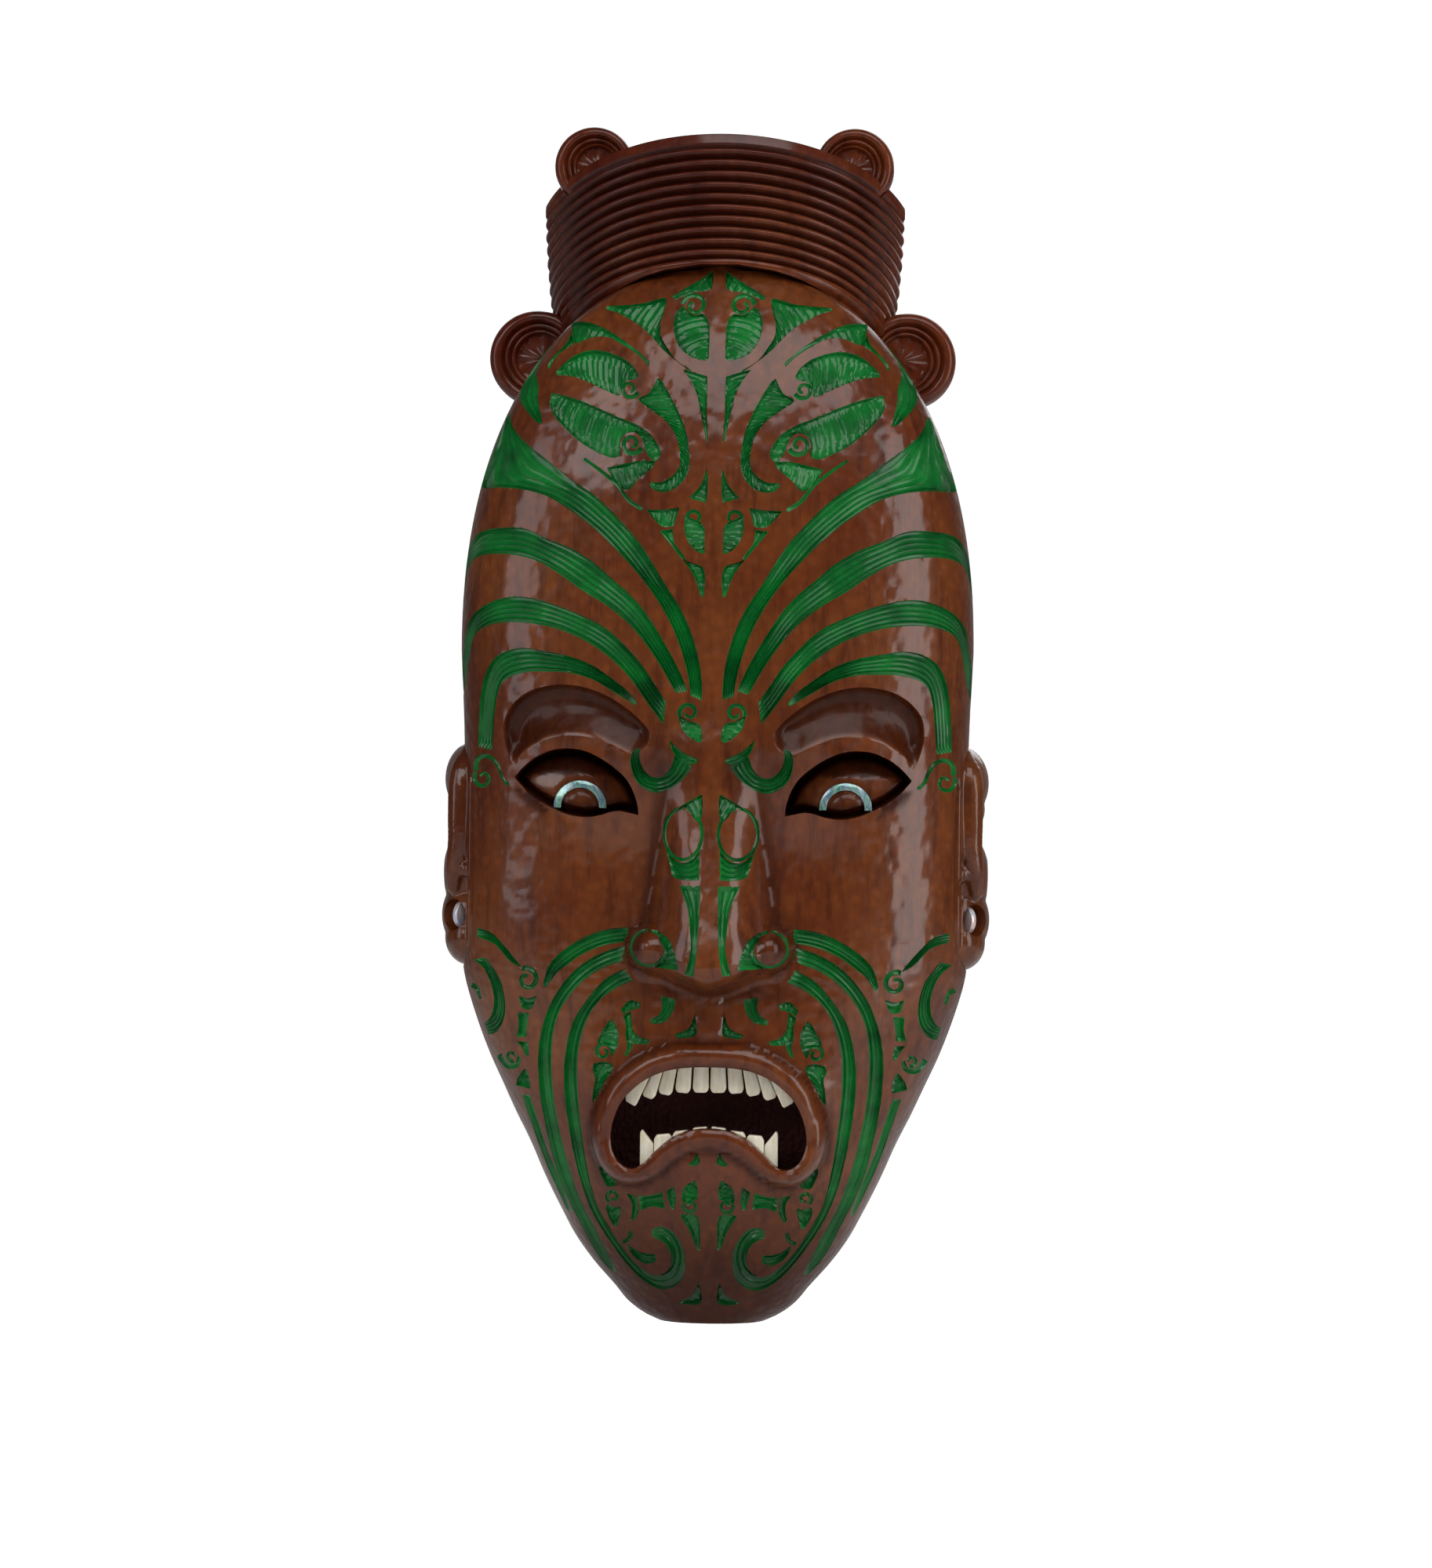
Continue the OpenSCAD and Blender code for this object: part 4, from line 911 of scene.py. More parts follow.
def melted(name, bm, voxel, rounds, material):
    """Joins overlapping lumps into one smooth skin."""
    piece = new_piece(name, bm)
    skin = piece.modifiers.new("skin", "REMESH")
    skin.mode, skin.voxel_size = "VOXEL", voxel * MM
    soft = piece.modifiers.new("soften", "SMOOTH")
    soft.factor, soft.iterations = 0.5, rounds
    settle(piece)
    piece.data.materials.append(material)
    return piece


# middle and radii of the ear's lumps and of the hollows cut into it
EAR_LUMPS = (((104.2, 31, 230), (11.8, 22, 15.6)), ((102, 34, 204), (9, 19, 30)),
             ((104.6, 34, 219), (9.8, 17, 11)), ((104.6, 30, 190), (12, 19, 20)),
             ((104.6, 32, 172), (12.2, 19, 16)), ((104.4, 36, 162.4), (10.6, 16, 12)))
EAR_RIM = ((104, 40, 241, 5), (107, 46, 232, 6.2), (107.4, 48, 216, 6.4), (107.6, 48, 204, 6),
           (109.4, 47, 193, 5), (110.4, 45, 184, 3.6))
EAR_FOLD = ((101.5, 51, 236, 3.4), (101.6, 53, 215, 3.4), (102.2, 53, 200, 3.2))
EAR_FLAP = ((105.4, 50.5, 191.6), (2.5, 3, 3.4))
EAR_HOLLOWS = (((119.4, 24, 221), (6.6, 13, 11)), ((120.6, 30, 188), (5.4, 13, 21)),
               ((104.8, 58, 186), (2.2, 5.6, 5)))
DISC_TILT = math.radians(53)


class MASK_OT_ears(bpy.types.Operator):
    """Model both ears with their folds, hollows and shell settings"""
    bl_idname = "mask.ears"
    bl_label = "Ears"

    def execute(self, context):
        varnish = shaded_ear_varnish()
        for side, sign in (("left", -1), ("right", 1)):
            low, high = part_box(f"ear_{side}")
            disc_low, disc_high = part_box(f"ear_disc_{side}")
            disc = (disc_low + disc_high) / 2
            bm = bmesh.new()
            middle = ((low.z + high.z) / 2 - CHIN) / MM
            root = rounded_box(-57.6, middle - 47.6, -6.4, middle + 47.6, 21.6)
            made = bmesh.ops.create_circle(bm, cap_ends=True, segments=len(root), radius=1)["verts"]
            for v, (y, z) in zip(made, root):
                v.co = (sign * 90 * MM, y * MM, z * MM + CHIN)
            grown = new_points(bmesh.ops.extrude_face_region(bm, geom=bm.faces[:]))
            bmesh.ops.translate(bm, vec=(sign * 14 * MM, 0, 0), verts=grown)
            bmesh.ops.recalc_face_normals(bm, faces=bm.faces[:])
            for lump in EAR_LUMPS:
                ball(bm, *lump, sign)
            roll(bm, EAR_RIM, sign)
            roll(bm, EAR_FOLD, sign)
            ball(bm, *EAR_FLAP, sign)
            # raised boss round the shell disc, and the well that the disc sits in
            out = Vector((sign * math.sin(DISC_TILT), -math.cos(DISC_TILT), 0))
            turn = out.to_track_quat("Z", "Y").to_matrix().to_4x4()
            cone(bm, 0.0108, 0.0088, 0.016, Matrix.Translation(disc - out * 0.0064) @ turn)
            piece = melted(f"carved_ear_{side}", bm, 0.75, 5, varnish)
            cuts = []
            for hollow in EAR_HOLLOWS:
                cut = bmesh.new()
                ball(cut, *hollow, sign)
                cuts.append(new_piece("ear_hollow", cut, varnish))
            well = bmesh.new()
            cone(well, 0.0062, 0.0072, 0.010, Matrix.Translation(disc + out * 0.0042) @ turn)
            cuts.append(new_piece("disc_well", well, varnish))
            # flat inner side and back
            for x, y, size in ((sign * 46.05, 0, (100 * MM, 0.4, 0.4)), (0, 50.5, (0.4, 0.1, 0.4))):
                cuts.append(box_block("ear_flat", size, (x * MM, y * MM, 200 * MM + CHIN), varnish))
            carve(piece, cuts)
            finish_piece(piece, f"ear_{side}", 40)
        return {"FINISHED"}


# ---- crown and scrolls ----

def turned(section, matrix, steps):
    """A half section of (radius, height) pairs turned round its axis."""
    bm = bmesh.new()
    verts = [bm.verts.new((r * MM, 0, h * MM)) for r, h in section]
    edges = [bm.edges.new(pair) for pair in zip(verts[:-1], verts[1:])]
    bmesh.ops.spin(bm, geom=verts + edges, cent=(0, 0, 0), axis=(0, 0, 1), angle=2 * math.pi, steps=steps,
                   use_merge=True)
    bmesh.ops.remove_doubles(bm, verts=bm.verts[:], dist=1e-6)
    bmesh.ops.recalc_face_normals(bm, faces=bm.faces[:])
    bmesh.ops.transform(bm, matrix=matrix, verts=bm.verts[:])
    return bm


CROWN_R, CROWN_TAPER, CROWN_SET, CROWN_LEAN, CROWN_H, RIDGES = 82.5, 11, 4, 28, 58, 10
# one ridge from groove to groove: share of its pitch, and how far in from the crown's edge
RIDGE = ((0.0, 2.7), (0.1, 3.3), (0.22, 2.7), (0.34, 1.1), (0.44, 0.3), (0.52, 0.0), (0.6, 0.02), (0.72, 0.3),
         (0.84, 0.9), (0.93, 1.7))
# half section of a scroll lug: share of its radius, and share of its thickness
LUG_SECTION = ((0, 0), (0.9, 0), (0.97, 0.03), (0.995, 0.1), (1, 0.2), (1, 0.68), (0.985, 0.82), (0.95, 0.93),
               (0.9, 0.985), (0.85, 1), (0.8, 0.985), (0.765, 0.94), (0.745, 0.86), (0.735, 0.845),
               (0.715, 0.88), (0.69, 0.905), (0.66, 0.9), (0.635, 0.86), (0.62, 0.8), (0.61, 0.785),
               (0.59, 0.815), (0.565, 0.83), (0.54, 0.815), (0.52, 0.77), (0.5, 0.72), (0.4, 0.7),
               (0.25, 0.72), (0.12, 0.75), (0, 0.76))


def crown_section():
    """Ridged half section of the crown, from its foot to its top."""
    lean = math.radians(CROWN_LEAN)
    foot = HEAD_TOP - (CROWN_R - CROWN_TAPER) * math.sin(lean)
    length = (HEAD_TOP + CROWN_H - foot - CROWN_R * math.sin(lean)) / math.cos(lean)
    rim, plain = 6, 3.2
    pitch = (length - rim - plain) / RIDGES

    def edge(v):
        return CROWN_R - CROWN_TAPER * (1 - v / length)

    section = [(0, -30), (edge(0) - 4.4, -30), (edge(0) - 3.4, -1), (edge(0) - 1.2, -0.2),
               (edge(0.6) - 0.2, 0.8), (edge(1.8), 2), (edge(2.6) - 0.4, 2.8)]
    for k in range(RIDGES):
        for share, sink in RIDGE:
            v = plain + k * pitch + share * pitch
            section.append((edge(v) - sink, v))
    section += [(edge(length - rim) - 1.6, length - rim), (edge(length - rim) - 1.2, length - rim + 0.5),
                (CROWN_R - 0.1, length - rim + 1.1), (CROWN_R, length - 2.4), (CROWN_R - 0.3, length - 0.9),
                (CROWN_R - 1.2, length - 0.15), (CROWN_R - 3, length), (0, length)]
    return section, foot


class MASK_OT_crown(bpy.types.Operator):
    """Turn the ridged crown and fit it over the forehead"""
    bl_idname = "mask.crown"
    bl_label = "Crown"

    def execute(self, context):
        section, foot = crown_section()
        matrix = (Matrix.Translation((0, -CROWN_SET * MM, foot * MM + CHIN))
                  @ Matrix.Rotation(math.radians(-CROWN_LEAN), 4, "X"))
        bm = turned(section, Matrix(), 220)
        length = section[-1][1]
        # painted shade in the crown's grooves: the deeper the sink, the darker, less on the flanks; 0.25
        # elsewhere
        groove_shade_layer = bm.verts.layers.float.new("painted_shade")
        for v in bm.verts:
            r, h = math.hypot(v.co.x, v.co.y) / MM, v.co.z / MM
            full = CROWN_R - CROWN_TAPER * (1 - h / length)
            if 2 < h < length - 1 and full - r < 5:
                flank = float(smoothstep(abs(v.co.x) / MM / r, 0.8, 0.985))
                uneven = 0.12 * math.sin(v.co.x / MM * 0.23 + h) * math.sin(v.co.x / MM * 0.071 + h * 0.4)
                sunk = (full - r) * (1 - 0.8 * flank)
                v[groove_shade_layer] = min(1.0, 0.15 + sunk / 2.1)
                v.co.xy *= (full - max(0, sunk + uneven)) / r
            else:
                v[groove_shade_layer] = 0.25
        bmesh.ops.transform(bm, matrix=matrix, verts=bm.verts[:])
        dark = crown_varnish()
        piece = new_piece("ridged_crown", bm, dark)
        zs = np.linspace(HEAD_TOP * 0.7, HEAD_TOP, 61)
        w = half_width(zs) + 0.2
        right = [(float(x), float(z) + 0.2) for x, z in zip(w, zs)]
        head = right + [(-x, z) for x, z in reversed(right)]
        cuts = [outline_block("forehead", head, 130, -5, dark, 1)]
        for name in ("top_scroll", "side_scroll"):
            front = -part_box(f"{name}_right")[0].y / MM
            x, z, r = lug_centre(name)
            for sign in (-1, 1):
                cuts.append(round_cutter(sign * x, z, r + 0.15, front + 0.2, -5, dark))
        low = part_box("crown_band")[0]
        for size, at in (((0.5, 0.2, 0.6), (0, 0.1, 0)), ((0.5, 0.6, 0.2), (0, 0, low.z - 0.1))):
            cuts.append(box_block("crown_flat", size, at, dark))
        carve(piece, cuts)
        finish_piece(piece, "crown_band", 50)
        return {"FINISHED"}


class MASK_OT_scrolls(bpy.types.Operator):
    """Turn the four scroll lugs"""
    bl_idname = "mask.scrolls"
    bl_label = "Scroll lugs"

    def execute(self, context):
        dark = scroll_varnish()
        for name in ("side_scroll", "top_scroll"):
            for side in ("left", "right"):
                node = f"{name}_{side}"
                low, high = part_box(node)
                back, front = -high.y / MM, -low.y / MM
                x, z, r = lug_centre(name)
                section = [(r * a, back + (front - back) * b) for a, b in LUG_SECTION]
                centre = Vector(((-x if side == "left" else x) * MM, 0, z * MM + CHIN))
                bm = turned(section, Matrix.Rotation(math.radians(90), 4, "X"), 128)
                fall = -0.5 if name == "top_scroll" else -0.15
                inward = Vector((-math.copysign(1, centre.x), 0, fall)).normalized()
                for v in bm.verts:
                    far = math.hypot(v.co.x, v.co.z) / (r * MM)
                    if -v.co.y / MM > back + (front - back) * 0.4:
                        shift = max(0.0, 1 - far) * 0.16 * r * MM
                        v.co += inward * shift
                        flute = math.cos(9 * math.atan2(v.co.z, v.co.x)) * 0.35 * MM
                        if 0.08 < far < 0.5:
                            v.co.y += flute * math.sin(math.pi * (far - 0.08) / 0.42)
                    v.co += centre
                bmesh.ops.recalc_face_normals(bm, faces=bm.faces[:])
                piece = new_piece(f"carved_{node}", bm, dark)
                keep_inside(piece, low, high, dark)
                finish_piece(piece, node, 50)
        return {"FINISHED"}


# ---- teeth and inlays ----

class MASK_OT_teeth(bpy.types.Operator):
    """Shape the bone teeth and fangs"""
    bl_idname = "mask.teeth"
    bl_label = "Teeth"

    def execute(self, context):
        bone = tooth_bone()
        for node in sorted(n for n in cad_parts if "tooth" in n or "fang" in n):
            bm = softened_copy(node, 0.7 if "upper" in node else 0.5, 3)
            low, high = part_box(node)
            for v in bm.verts:
                across = (v.co.x - (low.x + high.x) / 2) / max(1e-6, (high.x - low.x) / 2)
                if v.co.y < (low.y + high.y) / 2:
                    v.co.y += 0.0005 * across * across
            finish_piece(new_piece(f"bone_{node}", bm, bone), node, 40)
        return {"FINISHED"}


class MASK_OT_inlays(bpy.types.Operator):
    """Set the shell rings and discs"""
    bl_idname = "mask.inlays"
    bl_label = "Shell inlays"

    def execute(self, context):
        green, grey = ring_shell(), disc_shell()
        for side in ("left", "right"):
            for node, shell, slot in ((f"eye_ring_{side}", green, "green_shell"),
                                      (f"ear_disc_{side}", grey, "grey_shell")):
                bm = softened_copy(node, 0.22, 2)
                low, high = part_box(node)
                if "ring" in node:
                    for v in bm.verts:
                        if v.co.y < (low.y + high.y) / 2:
                            rest = v.co.y - low.y
                            seat = -float(eyeball(v.co.x / MM, (v.co.z - CHIN) / MM) + 0.5) * MM
                            v.co.y = min(max(seat, low.y) + rest, high.y - 0.0002)
                finish_piece(new_piece(f"shell_{node}", bm, shell), node, 40)
        return {"FINISHED"}


class MASK_OT_fixings(bpy.types.Operator):
    """Finish the backing board, dowels, hanger and screws"""
    bl_idname = "mask.fixings"
    bl_label = "Fixings"

    def execute(self, context):
        finishes = {"mouth_backing": mouth_board(), "ear_dowels": dowel_wood(), "scroll_dowels": dowel_wood(),
                    "crown_dowels": dowel_wood(), "hanger_plate": aged_brass(), "hanger_screws": aged_brass(),
                    "backing_screws": aged_brass()}
        for node, finish in finishes.items():
            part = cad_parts[node]
            part.data.materials.clear()
            part.data.materials.append(finish)
        return {"FINISHED"}


# ---- materials ----

class Nodes:
    """Short way to add shader nodes; a socket given as a value is joined, anything else is set."""

    def __init__(self, tree):
        self.tree = tree

    def fill(self, node, values):
        for key, value in values.items():
            if isinstance(value, bpy.types.NodeSocket):
                self.tree.links.new(value, node.inputs[key])
            elif isinstance(key, str) and hasattr(node, key):
                setattr(node, key, value)
            else:
                node.inputs[key].default_value = value
        return node

    def add(self, kind, **values):
        return self.fill(self.tree.nodes.new("ShaderNode" + kind), values)

    def place(self):
        return self.add("TexCoord").outputs["Object"]

    def stretched(self, tall):
        """Object coordinates stretched along the grain."""
        return self.add("Mapping", Vector=self.place(), Scale=(1, 1, tall)).outputs["Vector"]

    def noise(self, where, scale, detail, **more):
        return self.add("TexNoise", Vector=where, Scale=scale, Detail=detail, **more).outputs["Fac"]

    def math(self, operation, *values):
        node = self.add("Math", operation=operation)
        return self.fill(node, dict(enumerate(values))).outputs["Value"]

    def mix(self, share, a, b):
        return self.add("Mix", data_type="RGBA", Factor=share, A=a, B=b).outputs["Result"]

    def ranged(self, value, low, high, to_low=0.0, to_high=1.0):
        limits = {"From Min": low, "From Max": high, "To Min": to_low, "To Max": to_high}
        return self.add("MapRange", Value=value, **limits).outputs["Result"]

    def ramp(self, value, stops):
        node = self.add("ValToRGB", Fac=value)
        elements = node.color_ramp.elements
        while len(elements) < len(stops):
            elements.new(0.5)
        for stop, (at, colour) in zip(elements, stops):
            stop.position = at
            stop.color = (*colour, 1)
        return node.outputs["Color"]

    def bump(self, height, strength, distance):
        return self.add("Bump", Height=height, Strength=strength, Distance=distance).outputs["Normal"]

    def recess(self):
        """Painted shade stored on a point, from 0 to 1, mostly from how deep it lies below the surface."""
        return self.add("Attribute", attribute_name="painted_shade").outputs["Fac"]


def group(name, inputs, outputs, build):
    """The named node group. The first time, build(nodes, given) says what its outputs are."""
    tree = bpy.data.node_groups.get(name)
    if tree is None:
        tree = bpy.data.node_groups.new(name, "ShaderNodeTree")
        for label, value in inputs.items():
            kind = "NodeSocketColor" if value is None else "NodeSocketFloat"
            socket = tree.interface.new_socket(name=label, in_out="INPUT", socket_type=kind)
            if value is not None:
                socket.default_value = value
        for label, kind in outputs.items():
            tree.interface.new_socket(name=label, in_out="OUTPUT", socket_type=kind)
        n = Nodes(tree)
        made = build(n, tree.nodes.new("NodeGroupInput").outputs)
        n.fill(tree.nodes.new("NodeGroupOutput"), made)
    return tree


def material(name, build):
    """The named material. The first time, build(nodes) says what its shader's sockets take."""
    made = bpy.data.materials.get(name)
    if made is None:
        made = bpy.data.materials.new(name)
        made.use_nodes = True
        n = Nodes(made.node_tree)
        n.fill(made.node_tree.nodes["Principled BSDF"], build(n))
    return made


def wood_group():
    """Streaky wood: a colour, and a gloss value."""
    def build(n, given):
        patches = n.noise(n.place(), 11.0, 4.0, Roughness=0.6)
        streaks = n.noise(n.stretched(0.16), 150.0, 5.0, Roughness=0.65, Distortion=0.4)
        fleck = n.noise(n.stretched(0.16), 700.0, 2.0)
        paler = n.mix(n.ranged(patches, 0.42, 0.68), given["Main"], given["Light"])
        lines = n.math("MULTIPLY", n.ranged(streaks, 0.48, 0.78), given["Streaks"])
        streaked = n.mix(lines, paler, given["Dark"])
        pored = n.mix(n.ranged(fleck, 0.62, 0.8, 0, 0.35), streaked, given["Dark"])
        return {"Colour": pored, "Roughness": n.math("MULTIPLY_ADD", patches, 0.16, given["Gloss"])}

    return group("wood_figure", {"Main": None, "Light": None, "Dark": None, "Streaks": 1.0, "Gloss": 0.3},
                 {"Colour": "NodeSocketColor", "Roughness": "NodeSocketFloat"}, build)


def tool_group():
    """Hammered look of a gouged and varnished surface, as a height."""
    def build(n, given):
        scaling = n.add("VectorMath", operation="SCALE", Scale=given["Size"])
        scaled = n.fill(scaling, {0: n.place()}).outputs["Vector"]
        cells = n.add("TexVoronoi", feature="SMOOTH_F1", Vector=scaled, Scale=240.0, Smoothness=0.75)
        lumps = n.noise(scaled, 90.0, 3.0)
        grain = n.noise(n.stretched(0.2), 900.0, 3.0)
        hollows = n.math("MULTIPLY_ADD", lumps, 0.9, cells.outputs["Distance"])
        return {"Height": n.math("MULTIPLY_ADD", grain, given["Fine"], hollows)}

    return group("tool_marks", {"Size": 1.0, "Fine": 0.3}, {"Height": "NodeSocketFloat"}, build)


def wood_material(name, main, light, dark, streaks=1.0, gloss=0.28, coat=0.62, marks_size=1.0, bump=0.5,
                  fine=0.25, painted_shade=0.0):
    """Varnished wood with its figure, tool marks and, given a shade amount, painted shade in recesses."""
    def build(n):
        figure = n.add("Group", node_tree=wood_group(), Main=(*main, 1), Light=(*light, 1), Dark=(*dark, 1),
                       Streaks=streaks, Gloss=gloss).outputs
        height = n.add("Group", node_tree=tool_group(), Size=marks_size, Fine=fine).outputs["Height"]
        colour, varnish = figure["Colour"], coat
        # painted shade: the colour darkens to near-black brown and the coat thins by the stored shade
        if painted_shade:
            colour = n.mix(n.math("MULTIPLY", n.recess(), painted_shade), colour, (0.024, 0.0042, 0.0016, 1))
            varnish = n.math("MULTIPLY_ADD", n.recess(), -0.95 * coat, coat)
        seams = n.ranged(height, 0.62, 1.15, 0, 0.28)
        return {"Base Color": n.mix(seams, colour, (*(v * 0.4 for v in dark), 1)),
                "Roughness": figure["Roughness"], "Specular IOR Level": 0.1, "Coat Weight": varnish,
                "Coat Roughness": 0.13, "Normal": n.bump(height, bump, 0.0009)}

    return material(name, build)


def darker(colour, share):
    return [v * share for v in colour]


def face_varnish():
    c = colours()
    # strong painted shade in the face's recesses, from the stored shade
    return wood_material("face_varnish", c.wood, c.wood_light, c.wood_dark, painted_shade=0.9)


def shaded_ear_varnish():
    c = colours()
    # the face's wood at 0.8 of its brightness: painted shade, as the ears catch less light
    return wood_material("shaded_ear_varnish", darker(c.wood, 0.8), darker(c.wood_light, 0.8), c.wood_dark,
                         marks_size=1.3, bump=0.25)


def crown_varnish():
    c = colours()
    # strong painted shade in the crown's grooves, from the stored shade
    return wood_material("crown_varnish", c.crown, c.crown_light, darker(c.crown, 0.4), 0.8, 0.26, 0.4, 1.2,
                         0.3, painted_shade=0.97)


def scroll_varnish():
    c = colours()
    return wood_material("scroll_varnish", darker(c.crown, 1.1), c.crown_light, darker(c.crown, 0.4), 1.0,
                         0.3, 0.45, 0.9, 0.5)


def hollow_wood():
    return wood_material("hollow_wood", (0.055, 0.022, 0.011), (0.10, 0.045, 0.022), (0.02, 0.008, 0.005),
                         1.2, 0.6, 0.0, 0.5, 0.8, 0.6)


def mouth_board():
    return wood_material("mouth_board", (0.050, 0.012, 0.011), (0.090, 0.026, 0.022), (0.014, 0.004, 0.004),
                         0.6, 0.62, 0.0, 2.2, 1.0, 0.8)


def dowel_wood():
    return wood_material("dowel_wood", (0.42, 0.27, 0.13), (0.5, 0.34, 0.18), (0.28, 0.16, 0.07), 0.8, 0.5,
                         0.0, 2.0, 0.2, 0.5)


def channel_paint():
    """Brushed green paint, with painted shade in the recesses."""
    def build(n):
        r, g, b = colours().paint
        cloud = n.noise(n.place(), 60.0, 4.0, Roughness=0.6)
        tone = n.ramp(cloud, ((0.3, (r * 0.5, g * 0.45, b * 0.5)),
                              (0.7, (r * 1.6 + 0.004, g * 1.35, b * 1.3))))
        brushed = n.noise(n.place(), 500.0, 3.0)
        # painted shade: the green darkens towards a deep green by the stored shade
        return {"Base Color": n.mix(n.math("MULTIPLY", n.recess(), 0.85), tone, (0.0008, 0.018, 0.004, 1)),
                "Roughness": 0.34, "Specular IOR Level": 0.15, "Coat Weight": 0.35, "Coat Roughness": 0.1,
                "Normal": n.bump(brushed, 0.5, 0.0003)}

    return material("channel_paint", build)


def shell_material(name, stops, scale, bands):
    """Polished shell: bands of shifting colour under a clear surface."""
    def build(n):
        drift = n.noise(n.place(), scale, 3.0, Distortion=1.2)
        ripple = n.add("TexWave", Vector=n.place(), Scale=bands, Distortion=9.0, Detail=3.0).outputs["Fac"]
        return {"Base Color": n.ramp(n.math("MULTIPLY_ADD", ripple, 0.35, drift), stops), "Roughness": 0.2,
                "Metallic": 0.25, "Coat Weight": 0.8, "Coat Roughness": 0.05}

    return material(name, build)


def ring_shell():
    return shell_material("ring_shell", ((0.2, (0.03, 0.12, 0.09)), (0.42, (0.10, 0.32, 0.24)),
                                         (0.58, (0.30, 0.48, 0.42)), (0.75, (0.12, 0.27, 0.33)),
                                         (0.95, (0.38, 0.48, 0.50))), 150.0, 60.0)


def disc_shell():
    return shell_material("disc_shell", ((0.2, (0.3, 0.29, 0.4)), (0.45, (0.5, 0.47, 0.55)),
                                         (0.62, (0.55, 0.56, 0.66)), (0.78, (0.62, 0.46, 0.42)),
                                         (0.95, (0.6, 0.62, 0.66))), 120.0, 30.0)


def tooth_bone():
    """Bone with a fine upright grain."""
    def build(n):
        r, g, b = colours().bone
        grain = n.noise(n.stretched(0.25), 420.0, 4.0)
        return {"Base Color": n.ramp(grain, ((0.3, (r * 0.8, g * 0.74, b * 0.62)), (0.65, (r, g, b)))),
                "Roughness": 0.42, "Subsurface Weight": 0.12, "Subsurface Radius": (0.004, 0.003, 0.002),
                "Normal": n.bump(grain, 0.15, 0.0003)}

    return material("tooth_bone", build)


def aged_brass():
    """Brass with duller, browner patches."""
    def build(n):
        cloud = n.noise(n.place(), 220.0, 5.0)
        return {"Base Color": n.ramp(cloud, ((0.35, (0.2, 0.12, 0.04)), (0.65, (0.55, 0.38, 0.13)))),
                "Roughness": n.ranged(cloud, 0, 1, 0.55, 0.25), "Metallic": 1.0}

    return material("aged_brass", build)


def pale_floor():
    """A pale floor that also glows a little to the camera."""
    def build(n):
        seen = n.add("LightPath").outputs["Is Camera Ray"]
        return {"Base Color": (0.92, 0.92, 0.92, 1), "Roughness": 0.9, "Emission Color": (1, 1, 1, 1),
                "Emission Strength": n.math("MULTIPLY", seen, 0.8)}

    return material("pale_floor", build)


# ---- stage, in metres ----

FLOOR_SIZE, FLOOR_DROP, COVE_START, COVE_RADIUS = 12, 0.16, 2.4, 1.5
CAMERA_AWAY, CAMERA_TURN, CAMERA_ROLL, VIEW_HEIGHT = 2.2, math.radians(2.0), math.radians(0.6), 0.66667
# name, place (its height from the chin), size, watts, colour
LIGHTS = (("key", (1.5, -0.85, 0.5), (0.7, 1.5), 13, (1, 1, 1)),
          ("fill", (-1.5, -0.85, 0.62), (0.6, 1.1), 5.5, (0.9, 0.93, 1)),
          ("front", (0.5, -1.7, 2.2), (2.2, 1.5), 36, (1, 1, 1)),
          ("front_left", (-1.3, -2.0, 1.5), (1.0, 0.9), 12, (1, 1, 1)),
          ("back", (0.2, 1.6, 1.2), (1.6, 1.2), 10, (1, 1, 1)))


def linked(name, data, at, turn):
    made = bpy.data.objects.new(name, data)
    made.location, made.rotation_euler = at, turn
    bpy.context.scene.collection.objects.link(made)
    return made


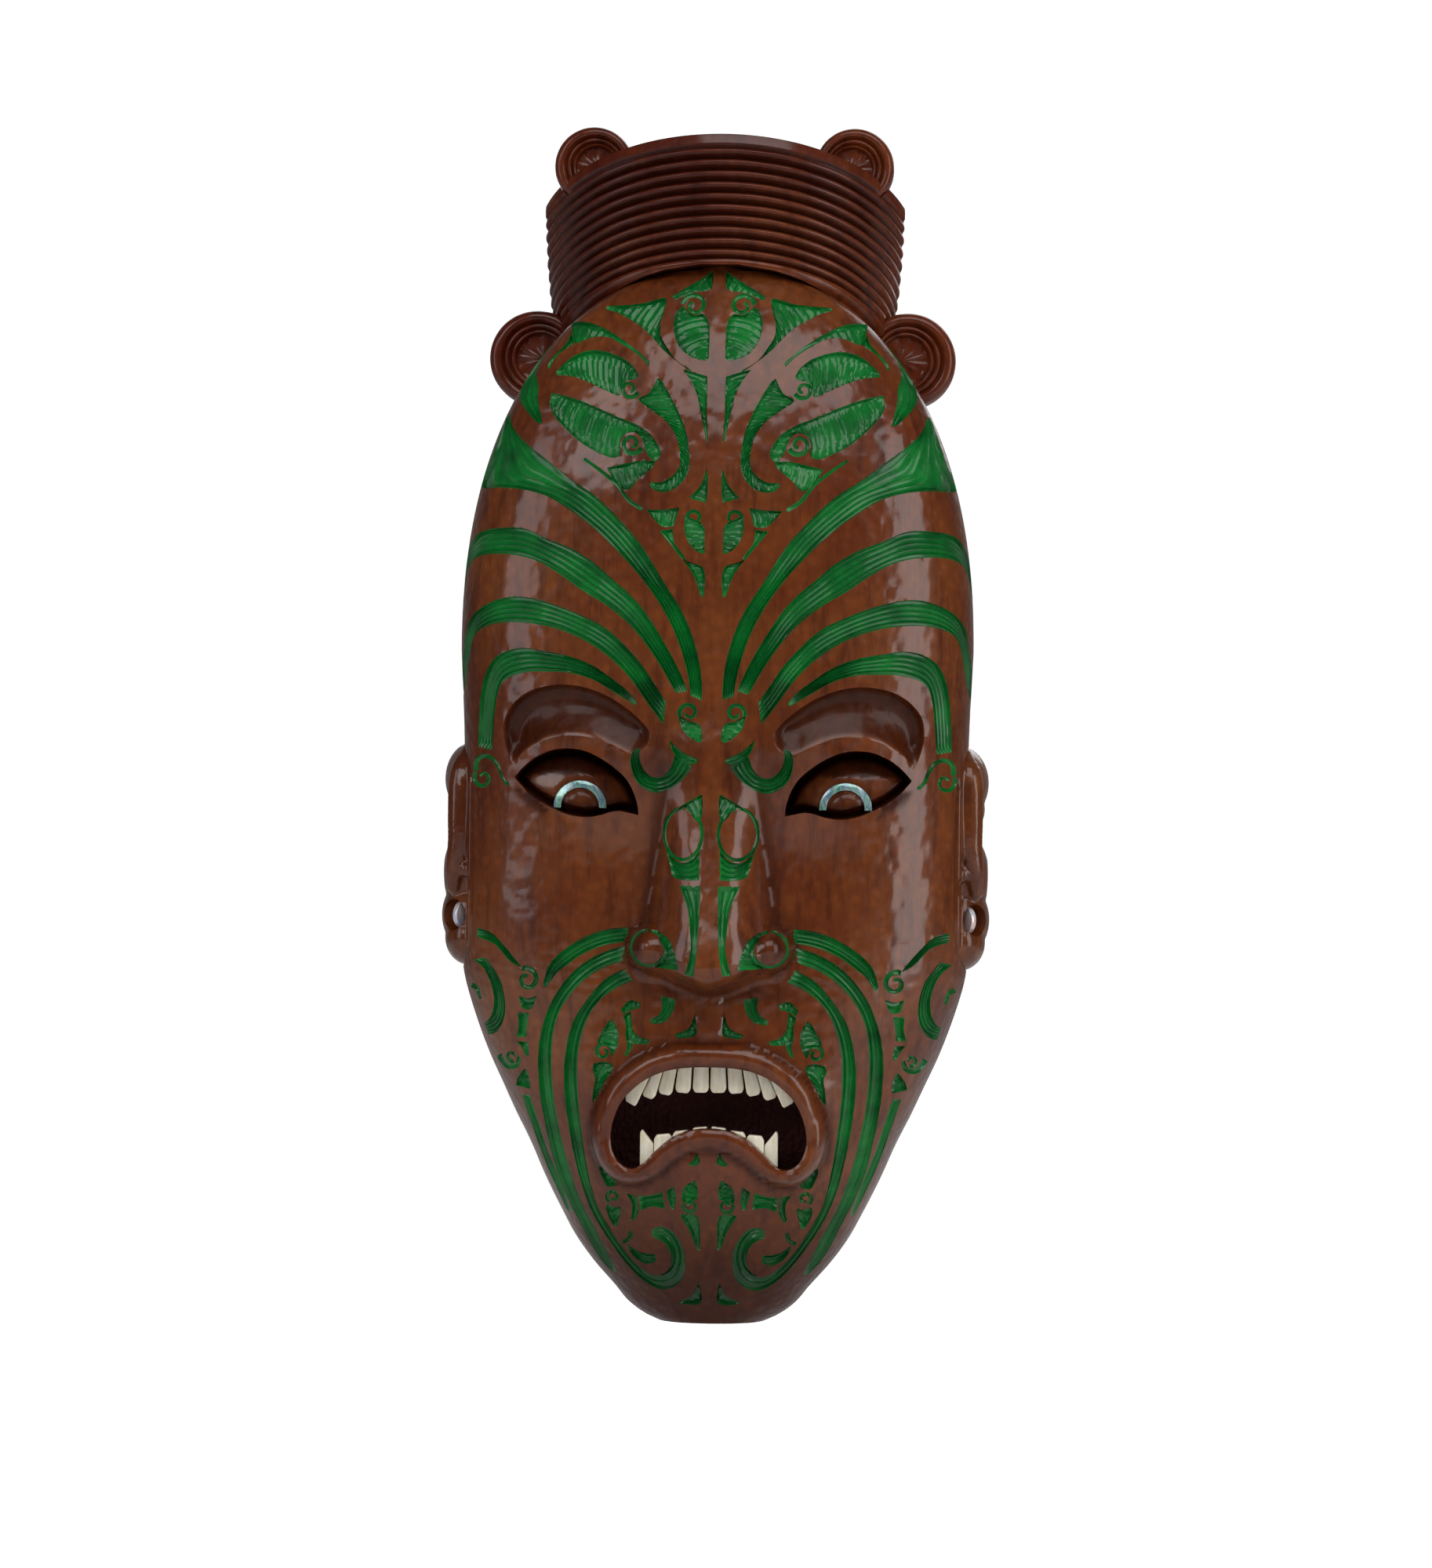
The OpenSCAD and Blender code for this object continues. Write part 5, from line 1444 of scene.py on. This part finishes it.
class MASK_OT_stage(bpy.types.Operator):
    """Set the floor, the lights and the camera"""
    bl_idname = "mask.stage"
    bl_label = "Stage"

    def execute(self, context):
        scene = context.scene
        middle = Vector((0, -0.04, CHIN + 0.2287))
        bm = bmesh.new()
        bmesh.ops.create_grid(bm, x_segments=1, y_segments=60, size=FLOOR_SIZE)
        for v in bm.verts:
            run = v.co.y - COVE_START
            turn = min(max(run, 0) / COVE_RADIUS, math.pi / 2)
            up = COVE_RADIUS * (1 - math.cos(turn)) + max(0, run - COVE_RADIUS * math.pi / 2)
            v.co.y = min(v.co.y, COVE_START) + COVE_RADIUS * math.sin(turn)
            v.co.z = CHIN - FLOOR_DROP + up
        floor = new_piece("floor", bm, pale_floor())
        for p in floor.data.polygons:
            p.use_smooth = True
        for name, (x, y, z), size, watts, colour in LIGHTS:
            light = bpy.data.lights.new(name, "AREA")
            light.shape, light.energy, light.color = "RECTANGLE", watts, colour
            light.size, light.size_y = size
            at = Vector((x, y, CHIN + z))
            linked(name, light, at, (middle - at).to_track_quat("-Z", "Y").to_euler())
        world = bpy.data.worlds.new("studio")
        world.use_nodes = True
        n = Nodes(world.node_tree)
        seen = n.add("LightPath").outputs["Is Camera Ray"]
        n.fill(world.node_tree.nodes["Background"],
               {"Color": (1, 1, 1, 1), "Strength": n.ranged(seen, 0, 1, 0.06, 1.0)})
        scene.world = world
        scene.view_settings.view_transform = "Standard"
        lens = bpy.data.cameras.new("camera")
        lens.sensor_fit = "AUTO"
        lens.lens = 36 * CAMERA_AWAY / VIEW_HEIGHT
        at = middle + Vector((CAMERA_AWAY * math.sin(CAMERA_TURN), -CAMERA_AWAY * math.cos(CAMERA_TURN), 0))
        look = (middle - at).to_track_quat("-Z", "Y").to_matrix().to_4x4()
        scene.camera = linked("camera", lens, at, (look @ Matrix.Rotation(CAMERA_ROLL, 4, "Z")).to_euler())
        return {"FINISHED"}


class MASK_PT_panel(bpy.types.Panel):
    """Shows the mask's sizes, colours and building steps"""
    bl_idname = "MASK_PT_panel"
    bl_label = "Carved mask"
    bl_space_type = "VIEW_3D"
    bl_region_type = "UI"
    bl_category = "Mask"

    def draw(self, context):
        for holder in (context.scene.mask_face, context.scene.mask_colours):
            for key in holder.bl_rna.properties.keys():
                if key not in ("rna_type", "name"):
                    self.layout.prop(holder, key)
        for step in STEPS:
            self.layout.operator(step.bl_idname)


STEPS = (MASK_OT_stage, MASK_OT_face, MASK_OT_ears, MASK_OT_crown, MASK_OT_scrolls, MASK_OT_teeth,
         MASK_OT_inlays, MASK_OT_fixings)
CLASSES = (FaceSizes, Colours, *STEPS, MASK_PT_panel)


def register():
    for c in CLASSES:
        bpy.utils.register_class(c)
    bpy.types.Scene.mask_face = PointerProperty(type=FaceSizes)
    bpy.types.Scene.mask_colours = PointerProperty(type=Colours)


def unregister():
    del bpy.types.Scene.mask_colours
    del bpy.types.Scene.mask_face
    for c in reversed(CLASSES):
        bpy.utils.unregister_class(c)


def main():
    register()
    bpy.ops.mask.stage()
    bpy.ops.mask.face()
    bpy.ops.mask.ears()
    bpy.ops.mask.crown()
    bpy.ops.mask.scrolls()
    bpy.ops.mask.teeth()
    bpy.ops.mask.inlays()
    bpy.ops.mask.fixings()
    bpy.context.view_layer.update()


if __name__ == "__main__":
    main()
